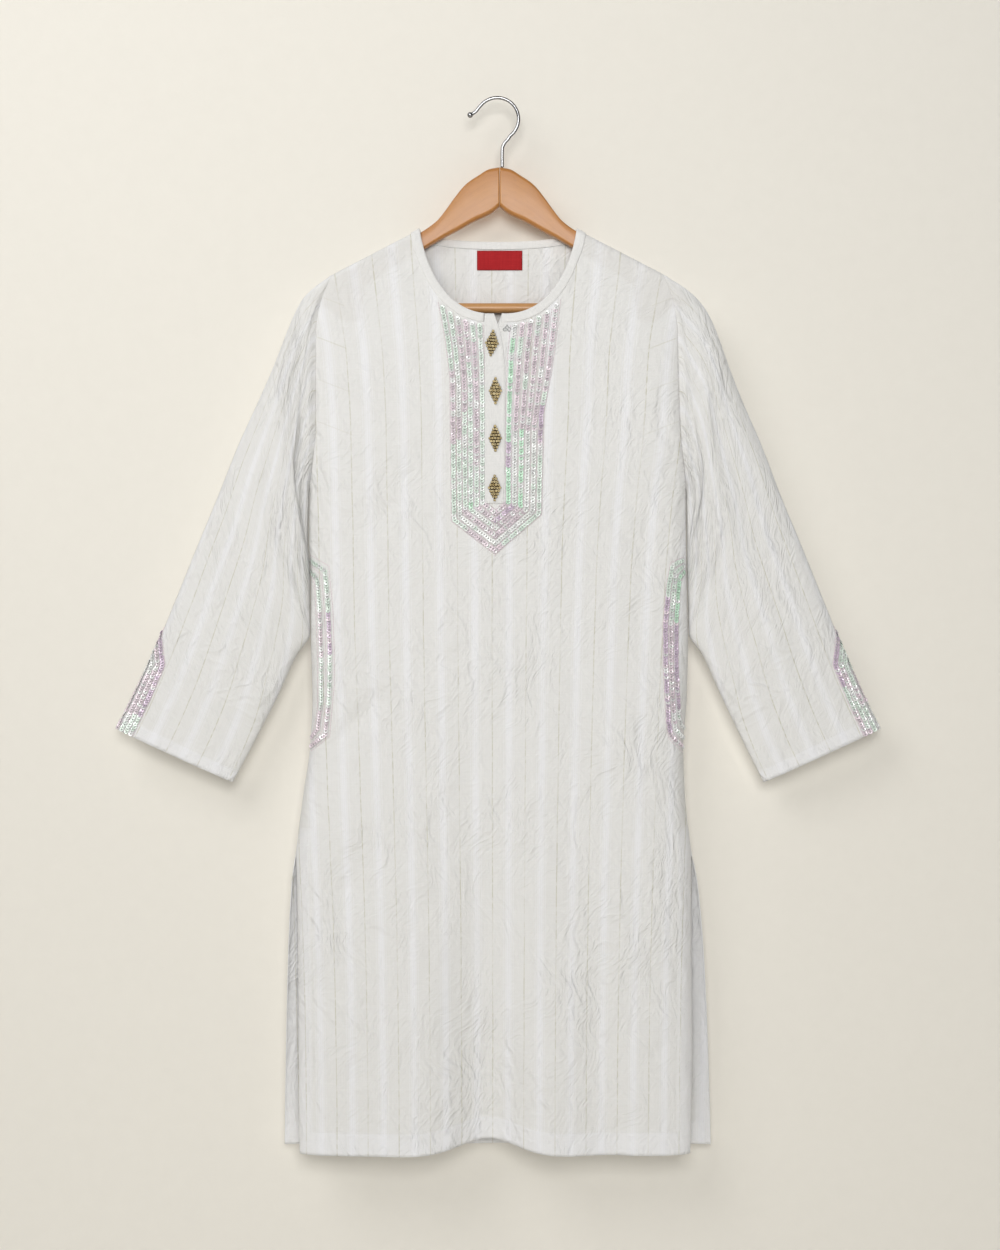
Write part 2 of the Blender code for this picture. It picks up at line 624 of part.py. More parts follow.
def wire(name, path, radius, finish, collection, ball=0.0):
    """A round wire along a path, with filled ends. A ball swells its last points."""
    curve = bpy.data.curves.new(name, "CURVE")
    curve.dimensions = "3D"
    curve.bevel_depth = radius * METRES
    curve.bevel_resolution = 2
    curve.use_fill_caps = True
    spline = curve.splines.new("POLY")
    spline.points.add(len(path) - 1)
    for point, place in zip(spline.points, path):
        point.co = (*(np.array(place) * METRES), 1)
    if ball:
        for point, share in zip(list(spline.points)[-len(BALL_SWELL) :], BALL_SWELL):
            point.radius = ball / radius * share
    return add_object(name, curve, finish, collection)


def hook_and_eye(finish, collection):
    """A small flat hook of wire sewn on beside the slit: two rings joined by a narrow bill."""
    turn = np.radians(np.linspace(-60, 240, 11))
    ring_x, ring_drop = HOOK_EYE_RING * np.cos(turn), HOOK_EYE_RING * np.sin(turn)
    lower_x = HOOK_EYE_RING * HOOK_EYE_SPREAD + ring_x
    upper_x = -lower_x[::-1]
    bill = np.array([-1.0, 0.0, 1.0]) * HOOK_EYE_BILL
    x = HOOK_EYE_CENTRE[0] + np.concatenate([upper_x, bill, lower_x])
    bill_drop = -HOOK_EYE_REACH - np.array([0.0, 1.0, 0.0]) * HOOK_EYE_BILL
    drop = HOOK_EYE_CENTRE[1] + HOOK_EYE_REACH / 2 + np.concatenate([ring_drop[::-1], bill_drop, ring_drop])
    path = FRONT.points(x, drop, SEAM_GAP + HOOK_EYE_WIRE)
    wire("hook_and_eye", path, HOOK_EYE_WIRE, finish, collection)


# ------------------------------------------------------------------ hanger
def hanger_arm(name, side, finish, collection):
    """One half of the wooden hanger: a flat outline with rounded edges."""
    curve = bpy.data.curves.new(name, "CURVE")
    curve.dimensions = "2D"
    curve.fill_mode = "BOTH"
    curve.extrude = HANGER_HALF_THICK * METRES
    outline = ARM_TOP + ARM_FOOT
    spline = curve.splines.new("POLY")
    spline.points.add(len(outline) - 1)
    for point, (across, drop) in zip(spline.points, outline):
        x = HANGER_CENTRE + side * (across + SEAM_GAP / 2)
        point.co = (x * METRES, -drop * METRES, 0, 1)
    spline.use_cyclic_u = True
    made = add_object(name, curve, finish, collection)
    made.rotation_euler.x = math.pi / 2
    weld = made.modifiers.new("join caps", "WELD")
    weld.merge_threshold = 1e-6
    edge = made.modifiers.new("rounded edge", "BEVEL")
    edge.width = HANGER_EDGE * METRES
    edge.segments = 3
    edge.limit_method = "ANGLE"
    edge.angle_limit = math.radians(HANGER_SHARP)
    return made


def hanger_bar(finish, collection):
    half = BAR_END - SEAM_GAP / 2
    bpy.ops.mesh.primitive_cylinder_add(vertices=16, radius=BAR_RADIUS * METRES, depth=2 * half * METRES)
    made = bpy.context.object
    made.name = "hanger_bar"
    made.data.name = "hanger_bar"
    made.data.materials.append(finish)
    made.location = (HANGER_CENTRE * METRES, 0, -BAR_DROP * METRES)
    made.rotation_euler.y = math.pi / 2
    for holder in list(made.users_collection):
        holder.objects.unlink(made)
    collection.objects.link(made)


def hanger_hook(finish, collection):
    """Bent wire: a stem, a loop round the bearing point, and a flared tip that ends in a ball."""
    turn = np.radians(np.linspace(LOOP_START, LOOP_END, LOOP_STEPS))
    centre_drop = HOOK_RADIUS - HOOK_WIRE
    loop = [
        (HOOK_CENTRE_X + HOOK_RADIUS * math.cos(a), centre_drop - HOOK_RADIUS * math.sin(a)) for a in turn
    ]
    places = [(STEM_X, STEM_FOOT - SEAM_GAP), *STEM_BEND, *loop, *HOOK_TIP]
    path = [(x, 0, -drop) for x, drop in places]
    wire("hanger_hook", path, HOOK_WIRE, finish, collection, ball=HOOK_BALL)


def main():
    for old in list(bpy.data.objects):
        bpy.data.objects.remove(old)
    collection = bpy.data.collections.new("kurta tunic on a hanger")
    bpy.context.scene.collection.children.link(collection)

    cotton = material("striped cotton", (0.77, 0.76, 0.74), 0.85)
    binding = material("plain cotton", (0.82, 0.81, 0.79), 0.85)
    woven = material("woven label", (0.48, 0.02, 0.025), 0.7)
    gold = material("antique gold", (0.36, 0.27, 0.11), 0.4, 1.0)
    steel = material("nickel wire", (0.55, 0.56, 0.56), 0.3, 1.0)
    beech = material("varnished beech", (0.60, 0.31, 0.11), 0.4)
    chrome = material("chrome", (0.75, 0.75, 0.75), 0.12, 1.0)

    body_panel("front_panel", FRONT, front_rows(), HEM_LIFT, cotton, collection)
    body_panel("back_panel", BACK, back_rows(), 0.0, cotton, collection)
    sleeve("sleeve_left", -1, cotton, collection)
    sleeve("sleeve_right", 1, cotton, collection)
    neck_band(binding, collection)
    placket(binding, collection)
    armhole_facing("armhole_facing_left", -1, cotton, collection)
    armhole_facing("armhole_facing_right", 1, cotton, collection)
    label(woven, collection)
    for number, place in enumerate(BUTTONS, 1):
        button(f"button_{number}", place, gold, collection)
    hook_and_eye(steel, collection)
    hanger_arm("hanger_arm_left", -1, beech, collection)
    hanger_arm("hanger_arm_right", 1, beech, collection)
    hanger_bar(beech, collection)
    hanger_hook(chrome, collection)


main()
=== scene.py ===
"""Looks of a long-sleeved kurta tunic on a wooden coat hanger: fine striped cotton, sequin bands at
the yoke, sides and cuffs, bead-cluster buttons, a beech hanger and a chrome hook.

Sizes are in millimetres and become metres when a mesh is made. A point of the garment is given by
its distance across (x, to the right as the front is seen), its drop below the point where the
hanger's hook bears, and its depth (y, towards the back). The frame has +Z up, the garment's front
faces -Y, and the origin is the bearing point under the top of the hook.
"""

import math
from collections import namedtuple

import bpy
import numpy as np
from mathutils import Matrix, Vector


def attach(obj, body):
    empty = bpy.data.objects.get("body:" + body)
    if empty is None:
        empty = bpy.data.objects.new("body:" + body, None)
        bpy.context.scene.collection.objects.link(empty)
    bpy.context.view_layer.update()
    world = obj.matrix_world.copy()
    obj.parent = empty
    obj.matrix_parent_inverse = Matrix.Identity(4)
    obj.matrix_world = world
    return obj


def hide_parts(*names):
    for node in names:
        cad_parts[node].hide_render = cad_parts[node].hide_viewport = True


METRES = 0.001
BODY = "root"

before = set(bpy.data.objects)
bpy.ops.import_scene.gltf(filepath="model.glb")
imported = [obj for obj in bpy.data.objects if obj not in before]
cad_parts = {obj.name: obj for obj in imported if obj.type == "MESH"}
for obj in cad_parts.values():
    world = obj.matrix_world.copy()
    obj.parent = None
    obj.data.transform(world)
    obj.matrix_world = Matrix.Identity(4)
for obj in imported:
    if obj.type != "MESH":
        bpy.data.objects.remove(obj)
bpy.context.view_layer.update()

# ------------------------------------------------------------------ cloth and seams
WALL = 0.8
FACING_WALL = 0.4
SEAM_GAP = 0.3
CLOTH_STEP = 3.8  # spacing of a panel's grid
SLEEVE_STEP = 4.0
CLOSE_TO_EDGE = [0.0, 0.25, 0.7, 1.4, 2.5, 4.1, 6.4, 9.3]  # first stations beside an edge that turns

# ------------------------------------------------------------------ neck and shoulders
NECK_HALF = 86.5
NECK_TOP = 143.5
Neckline = namedtuple("Neckline", "depth fullness")  # fullness: how far it leaves an ellipse
FRONT_NECKLINE = Neckline(94.0, 0.026)
BACK_NECKLINE = Neckline(12.2, 0.0)
SHOULDER_END = 180.0
SHOULDER_SLOPE = 0.52
COLLAR_SLOPE = 0.30
SHOULDER_WRAP = 7.0
WRAP_POWER = 2.6
SHOULDER_TIP = NECK_TOP + SHOULDER_SLOPE * (SHOULDER_END - NECK_HALF)

# ------------------------------------------------------------------ body
UNDERARM = 429.0
UNDERARM_ROUND = 56.0
VENT_TOP = 825.0
HEM = 1151.0
SIDE_POWER = 9.0

Edge = namedtuple("Edge", "drop left right")
SIDE_SEAM = [
    Edge(SHOULDER_TIP, -180, 180),
    Edge(222, -193, 191),
    Edge(253, -199, 196),
    Edge(308, -200, 197.5),
    Edge(364, -200, 199.5),
    Edge(400, -203.5, 203),
    Edge(UNDERARM, -207, 206),
    Edge(484, -208, 206.5),
    Edge(522, -206, 207),
    Edge(594, -205.5, 208.5),
    Edge(660, -204, 207),
    Edge(710, -206.5, 203.5),
    Edge(760, -213.5, 205),
    Edge(VENT_TOP, -222, 212),
]
FRONT_VENT = [
    Edge(VENT_TOP, -222, 212),
    Edge(880, -220.5, 212),
    Edge(990, -218.5, 212),
    Edge(1100, -217, 210.5),
    Edge(HEM, -216, 209),
]
BACK_VENT = [
    Edge(VENT_TOP, -222, 212),
    Edge(860, -227, 219),
    Edge(935, -231, 226),
    Edge(1045, -234, 231.5),
    Edge(HEM, -236, 235),
]

Depth = namedtuple("Depth", "drop edge centre")
FRONT_DEPTH = [
    Depth(NECK_TOP, 9.0, 9.0),
    Depth(235, 10.5, 13),
    Depth(275, 8.5, 16),
    Depth(330, 7, 18),
    Depth(UNDERARM, 7, 21),
    Depth(600, 14, 25),
    Depth(VENT_TOP, 14, 31),
    Depth(HEM, 14, 37),
]
BACK_DEPTH = [
    Depth(NECK_TOP, 9.0, 9.0),
    Depth(235, 10, 10.5),
    Depth(330, 7, 12),
    Depth(600, 9, 13),
    Depth(HEM, 9, 15),
]
FRONT_VENT_SPREAD = 21.0
BACK_VENT_SPREAD = 12.0
VENT_FLARE = 0.8

Fold = namedtuple("Fold", "top_x top foot_x foot top_width foot_width height to_hem")
FRONT_FOLDS = [
    Fold(-26, 620, -11, HEM, 30, 38, -27, True),
    Fold(66, 560, 118, HEM, 24, 28, -5, True),
    Fold(40, 640, 56, HEM, 26, 30, 4, True),
    Fold(-105, 700, -92, HEM, 34, 40, 5, True),
    Fold(-62, 360, -180, 520, 20, 24, -3.2, False),
    Fold(-122, 640, -196, 745, 18, 20, -4.5, False),
    Fold(-128, 790, -190, 930, 20, 24, -4.5, False),
    Fold(160, 420, 150, 640, 18, 20, -2.4, False),
]
BACK_FOLDS = [
    Fold(-70, 420, -86, HEM, 30, 38, -6, True),
    Fold(64, 470, 88, HEM, 30, 36, -5, True),
    Fold(0, 520, 6, HEM, 34, 40, 3.5, True),
    Fold(104, 290, 160, 520, 24, 28, -2.2, False),
    Fold(-108, 300, -164, 540, 24, 28, -2.2, False),
]
FOLD_END = 40.0
FOLD_GROWTH = 1.4
FOLD_SIDE_FADE = 6

HEM_LIFT = 12.5
HEM_LIFT_X = -11.0
HEM_LIFT_WIDTH = 44.0
HEM_LIFT_TOP = 850.0

# Finer creases, from one end to the other. A positive height stands out from the body.
Crease = namedtuple("Crease", "x0 drop0 x1 drop1 width height bow")
FRONT_CREASES = [
    Crease(-60, 392, -188, 500, 9, -1.5, 8),
    Crease(-108, 374, -190, 470, 8, -1.2, -6),
    Crease(-118, 420, -196, 540, 7, 1.0, 6),
    Crease(-124, 640, -200, 722, 8, -1.6, 5),
    Crease(-96, 655, -186, 770, 10, -1.3, 8),
    Crease(-150, 560, -204, 640, 8, -1.0, 4),
    Crease(96, 400, 188, 470, 10, -1.2, -7),
    Crease(120, 452, 198, 540, 8, -1.1, -5),
    Crease(90, 560, 74, 700, 12, -1.1, 6),
    Crease(142, 640, 196, 760, 9, -1.2, -6),
    Crease(20, 470, 34, 640, 14, -1.0, -5),
    Crease(-40, 520, -52, 700, 12, -0.9, 6),
    Crease(-80, 720, -60, 900, 12, -1.3, 7),
    Crease(150, 800, 170, 980, 12, -1.2, -8),
    Crease(-186, 800, -150, 900, 9, -1.4, 6),
    Crease(-198, 860, -158, 980, 9, -1.2, 8),
    Crease(-150, 930, -120, 1080, 12, -1.2, 5),
    Crease(90, 880, 74, 1080, 12, 1.0, 5),
    Crease(170, 300, 184, 420, 7, -0.9, 3),
    Crease(-176, 300, -186, 420, 7, -0.9, -3),
]
BACK_CREASES = [
    Crease(60, 392, 180, 490, 10, -1.4, 8),
    Crease(110, 374, 190, 470, 8, -1.1, -6),
    Crease(-110, 380, -192, 480, 9, -1.2, 6),
    Crease(-124, 640, -196, 730, 9, -1.4, 5),
    Crease(128, 655, 190, 760, 9, -1.3, 8),
    Crease(-40, 480, -30, 660, 13, -1.0, 6),
    Crease(30, 700, 20, 900, 13, -1.1, -7),
    Crease(-150, 800, -170, 980, 12, -1.2, -8),
    Crease(140, 860, 160, 1050, 12, -1.2, 8),
    Crease(-90, 900, -76, 1090, 12, 1.0, 5),
    Crease(0, 190, 10, 330, 16, -0.9, 6),
]

# Patches of small crinkles, each scattered about a centre and lying near one angle from upright.
Crinkles = namedtuple("Crinkles", "x drop spread_x spread_drop angle turn count length width height")
FRONT_CRINKLES = [
    Crinkles(-160, 1040, 30, 55, 4, 24, 40, 34, 3.8, 0.34),
    Crinkles(165, 1010, 34, 75, 26, 22, 36, 38, 4.4, 0.28),
    Crinkles(0, 900, 110, 170, 8, 24, 80, 46, 5.0, 0.35),
    Crinkles(-170, 880, 26, 60, 26, 22, 28, 34, 4.5, 0.36),
    Crinkles(175, 820, 22, 80, 18, 24, 28, 34, 4.5, 0.30),
    Crinkles(0, 600, 150, 110, 14, 40, 70, 40, 5.0, 0.26),
    Crinkles(-165, 470, 26, 60, 46, 20, 26, 36, 4.5, 0.40),
    Crinkles(165, 480, 26, 70, -42, 22, 24, 36, 4.5, 0.36),
    Crinkles(0, 320, 170, 70, 10, 50, 50, 34, 4.5, 0.20),
]
BACK_CRINKLES = [
    Crinkles(-160, 1030, 34, 70, -20, 24, 50, 36, 4.2, 0.42),
    Crinkles(160, 1010, 34, 75, 20, 24, 50, 36, 4.2, 0.42),
    Crinkles(0, 880, 120, 170, 6, 26, 90, 46, 5.0, 0.35),
    Crinkles(0, 600, 150, 120, -12, 40, 80, 40, 5.0, 0.26),
    Crinkles(0, 320, 170, 80, 8, 50, 60, 36, 4.5, 0.24),
]
VENT_PUCKER = 0.55
VENT_PUCKER_PITCH = 13.0
HEM_PUCKER = 0.35
BODY_HEM_WIDTH = 25.0
VENT_HEM_WIDTH = 15.0
CUFF_HEM_WIDTH = 16.5

# Cloth width per width of the garment as it hangs: it is eased in at the shoulders and folded at
# the hem.
Lean = namedtuple("Lean", "drop left right")
FRONT_LEAN = [
    Lean(NECK_TOP, 0.85, 0.78),
    Lean(182, 0.87, 0.80),
    Lean(288, 0.95, 0.88),
    Lean(352, 0.975, 0.90),
    Lean(450, 0.99, 0.96),
    Lean(536, 1.0, 1.0),
    Lean(1023, 1.11, 1.11),
    Lean(HEM, 1.12, 1.12),
]
BACK_LEAN = [
    Lean(NECK_TOP, 0.92, 0.92),
    Lean(352, 0.98, 0.98),
    Lean(600, 1.0, 1.0),
    Lean(HEM, 1.06, 1.06),
]
STRIPE_REPEAT = 37.6
STRIPE_START = -6.6  # where the beige thread nearest the middle lies

# ------------------------------------------------------------------ front slit and placket
SLIT_FOOT = 440.0
SLIT_X = -9.0
PLACKET_LEFT = -14.5
PLACKET_TOP = NECK_TOP + FRONT_NECKLINE.depth
PLACKET_FOOT = 445.0
BAND_WIDTH = 9.0
SEAM_RISE = 0.5  # the binding stands out by this much more where it crosses the shoulder seam
SEAM_RISE_SPAN = 6.0  # in degrees round the neckline

Slit = namedtuple("Slit", "drop placket_edge under_edge")
SLIT_EDGES = [
    Slit(PLACKET_TOP, -4.6, 3.8),
    Slit(249, -0.6, -0.2),
    Slit(262, 3.0, -5.0),
    Slit(280, 5.6, -8.7),
    Slit(300, 7.4, -8.7),
    Slit(384, 7.2, -8.7),
    Slit(SLIT_FOOT, 5.6, -8.7),
]

# ------------------------------------------------------------------ sleeves
Ring = namedtuple("Ring", "outer_x outer inner_x inner front back power clears right_out")
AGAINST_BODY = 0.0
SLEEVE = [
    Ring(187, 196.4, AGAINST_BODY, 434, 12.5, 12, 7, 5, 0),
    Ring(200, 205.5, AGAINST_BODY, 443, 13.5, 12.5, 6, 10, 2),
    Ring(213, 217.5, AGAINST_BODY, 456, 14.5, 13, 4, 14, 4),
    Ring(222, 233, AGAINST_BODY, 472, 17, 14, 3.4, 17, 7),
    Ring(231, 254, AGAINST_BODY, 490, 20, 15, 3, 19, 8),
    Ring(245, 290, AGAINST_BODY, 512, 22, 16, 2.8, 0, 7),
    Ring(264, 333, AGAINST_BODY, 537, 22, 16.5, 2.6, 0, 5),
    Ring(285, 379, AGAINST_BODY, 561, 21, 16.5, 2.5, 0, 4),
    Ring(307, 434, AGAINST_BODY, 586, 19.5, 16, 2.4, 0, 3),
    Ring(331, 492, 222, 612, 17.5, 15, 2.4, 0, 3),
    Ring(354, 549, 239, 649, 15.5, 13.5, 2.4, 0, 3),
    Ring(377, 604, 256, 683, 13.5, 12, 2.4, 0, 2),
    Ring(399, 652, 274, 718, 11.5, 10.5, 2.4, 0, 1),
    Ring(419, 691.5, 291.5, 750, 10, 9, 2.4, 0, 0),
]
SLEEVE_CLEAR = 0.8
SLEEVE_TUCK = 1.6  # how far the sleeve's seam edge runs in under the panels

SleeveFold = namedtuple("SleeveFold", "place width height first last")
SLEEVE_FOLDS = [
    SleeveFold(0.30, 0.10, -2.7, 2, 10),
    SleeveFold(0.66, 0.09, -2.9, 1, 9),
    SleeveFold(0.47, 0.10, 1.9, 5, 13),
    SleeveFold(0.16, 0.05, -0.9, 4, 12),
    SleeveFold(0.55, 0.045, -0.9, 3, 11),
    SleeveFold(0.82, 0.05, -1.1, 5, 12.5),
    SleeveFold(0.38, 0.04, -0.7, 7, 13.5),
    SleeveFold(0.24, 0.035, 0.7, 6, 13),
]

# ------------------------------------------------------------------ label and facings
LABEL_HALF_WIDTH = 25.0
LABEL_HALF_HEIGHT = 10.8
LABEL_CENTRE = (1.6, 175.5)
FACING_TOP = 216.0
FACING_FOOT = 384.0
FACING_FROM = 0.055
FACING_TO = 0.18

# ------------------------------------------------------------------ hanger
HANGER_CENTRE = 1.5
HANGER_HALF_THICK = 6.5
HANGER_EDGE = 4.6
BOARD_SWELL = 0.25  # how far each face stands out along its middle
ARM_TOP = [
    (0, 75.2), (11, 77.2), (22, 83.5), (37, 94), (48, 107), (58, 121), (68, 133.5), (86, 146.6),
    (110, 159), (150, 180), (178, 195.4), (190, 203), (200, 212.5), (204, 219),
]
ARM_FOOT = [
    (0, 118), (9, 125.5), (28, 134.5), (45, 144), (62, 153), (81, 164), (120, 186), (142, 201),
    (149, 216), (149, 238), (154, 244), (166, 245), (177, 239), (184, 230), (200, 229), (204, 219),
]
BAR_RADIUS = 5.5
BAR_DROP = 229.5
BAR_END = 149.0
HOOK_WIRE = 1.8
HOOK_RADIUS = 23.4
HOOK_CENTRE_X = -1.0
STEM_X = 4.4
STEM_FOOT = 75.4
STEM_BEND = [(4.4, 60.0), (4.6, 54.0), (6.8, 48.5), (11.0, 43.6)]
HOOK_TIP = [(-20.8, 8.6), (-23.9, 12.6), (-28.6, 16.1), (-33.7, 18.4)]
HOOK_BALL = 3.1
LOOP_START = -52.0
LOOP_END = 138.0


# ------------------------------------------------------------------ curves through the tables
def curve_through(stations, values):
    """A smooth curve through points that never swings past them: cubic spans with limited slopes.
    The values may be numbers or whole arrays of points."""
    xs, ys = np.array(stations, float), np.array(values, float)
    step = np.diff(xs)
    extra = (1,) * (ys.ndim - 1)
    rise = np.diff(ys, axis=0) / step.reshape((-1,) + extra)
    same_way = rise[:-1] * rise[1:] > 0
    total = np.where(same_way, rise[:-1] + rise[1:], 1.0)
    middle = np.where(same_way, 2 * rise[:-1] * rise[1:] / total, 0.0)
    slope = np.concatenate([rise[:1], middle, rise[-1:]])

    def at(x):
        x = np.clip(np.asarray(x, float), xs[0], xs[-1])
        i = np.clip(np.searchsorted(xs, x) - 1, 0, len(xs) - 2)
        span = step[i].reshape(x.shape + extra)
        t = (x - xs[i]).reshape(x.shape + extra) / span
        ends = ys[i] * (1 + 2 * t) * (1 - t) ** 2 + ys[i + 1] * t * t * (3 - 2 * t)
        return ends + span * t * (1 - t) * (slope[i] * (1 - t) - slope[i + 1] * t)

    return at


def column(rows, name):
    """One named column of a table as a smooth curve over its drops."""
    return curve_through([row.drop for row in rows], [getattr(row, name) for row in rows])


def smooth_step(t):
    t = np.clip(t, 0.0, 1.0)
    return t * t * (3 - 2 * t)


def smooth_path(points, count):
    """A path of count points, evenly spaced, through the given ones: each coordinate is a smooth
    curve of the length run so far."""
    points = np.array(points, float)
    run = np.concatenate([[0], np.cumsum(np.linalg.norm(np.diff(points, axis=0), axis=1))])
    fine = curve_through(run, points)(np.linspace(0, run[-1], count * 4))
    return even_path(fine, count)


def even_path(points, count):
    """The same path as count points that are evenly spaced along it."""
    run = np.concatenate([[0], np.cumsum(np.linalg.norm(np.diff(points, axis=0), axis=1))])
    places = np.linspace(0, run[-1], count)
    return np.stack([np.interp(places, run, axis) for axis in points.T], axis=1)


def stations(length, step):
    """Distances from an edge that turns: close together beside it, then evenly about step apart."""
    start = np.array(CLOSE_TO_EDGE)
    count = max(2, int(round((length - start[-1]) / step)) + 1)
    return np.concatenate([start[:-1], np.linspace(start[-1], length, count)])


PLACKET_EDGE = column(SLIT_EDGES, "placket_edge")
UNDER_EDGE = column(SLIT_EDGES, "under_edge")


# ------------------------------------------------------------------ the form of the body
def ridge(x):
    """Drop of the line on which the cloth lies over the hanger: the shoulder seam and, inside the
    neck, its continuation."""
    past = np.abs(x) - NECK_HALF
    return NECK_TOP + np.where(past > 0, SHOULDER_SLOPE, COLLAR_SLOPE) * past


def shoulder_wrap(below):
    """0 on the ridge, 1 once the cloth has turned down over the hanger."""
    t = np.clip(below / SHOULDER_WRAP, 0, 1)
    return (1 - (1 - t) ** WRAP_POWER) ** (1 / WRAP_POWER)


def crease_height(creases, x, drop):
    """The sum of the creases. Each is a rounded ridge or trough across a bowed line, and it rises
    and dies away along it as half a sine wave."""
    total = np.zeros(np.broadcast(x, drop).shape)
    for x0, drop0, x1, drop1, width, height, bow in creases:
        run_x, run_drop = x1 - x0, drop1 - drop0
        length = math.hypot(run_x, run_drop)
        along = ((x - x0) * run_x + (drop - drop0) * run_drop) / length**2
        inside = np.clip(along, 0, 1)
        aside = ((x - x0) * run_drop - (drop - drop0) * run_x) / length - bow * 4 * inside * (1 - inside)
        total += height * np.sin(math.pi * inside) * np.exp(-((aside / width) ** 2))
    return total


def scattered(patches, seed):
    """Small creases strewn over each patch: bell-shaped scatter about its centre and its angle,
    uneven in length, width and height, ridges and troughs alike."""
    draw = np.random.default_rng(seed)
    made = []
    for patch in patches:
        x = patch.x + draw.normal(0, patch.spread_x / 2, patch.count)
        drop = patch.drop + draw.normal(0, patch.spread_drop / 2, patch.count)
        angle = np.radians(patch.angle + draw.normal(0, patch.turn, patch.count))
        half = patch.length / 2 * draw.uniform(0.5, 1.5, patch.count)
        width = patch.width * draw.uniform(0.6, 1.5, patch.count)
        height = patch.height * draw.uniform(0.4, 1.5, patch.count) * draw.choice([-1, -1, 1], patch.count)
        bow = draw.normal(0, 2.5, patch.count)
        across, down = np.sin(angle) * half, np.cos(angle) * half
        made.append(np.stack([x - across, drop + down, x + across, drop - down, width, height, bow], axis=1))
    return np.concatenate(made)


def uneven_wave(place, pitch):
    """A wave whose pitch and height wander slowly along it."""
    turn = 2 * math.pi * place / pitch
    return np.sin(turn + 1.9 * np.sin(turn / 4.3 + 1.0)) * (0.62 + 0.38 * np.sin(turn / 3.1))


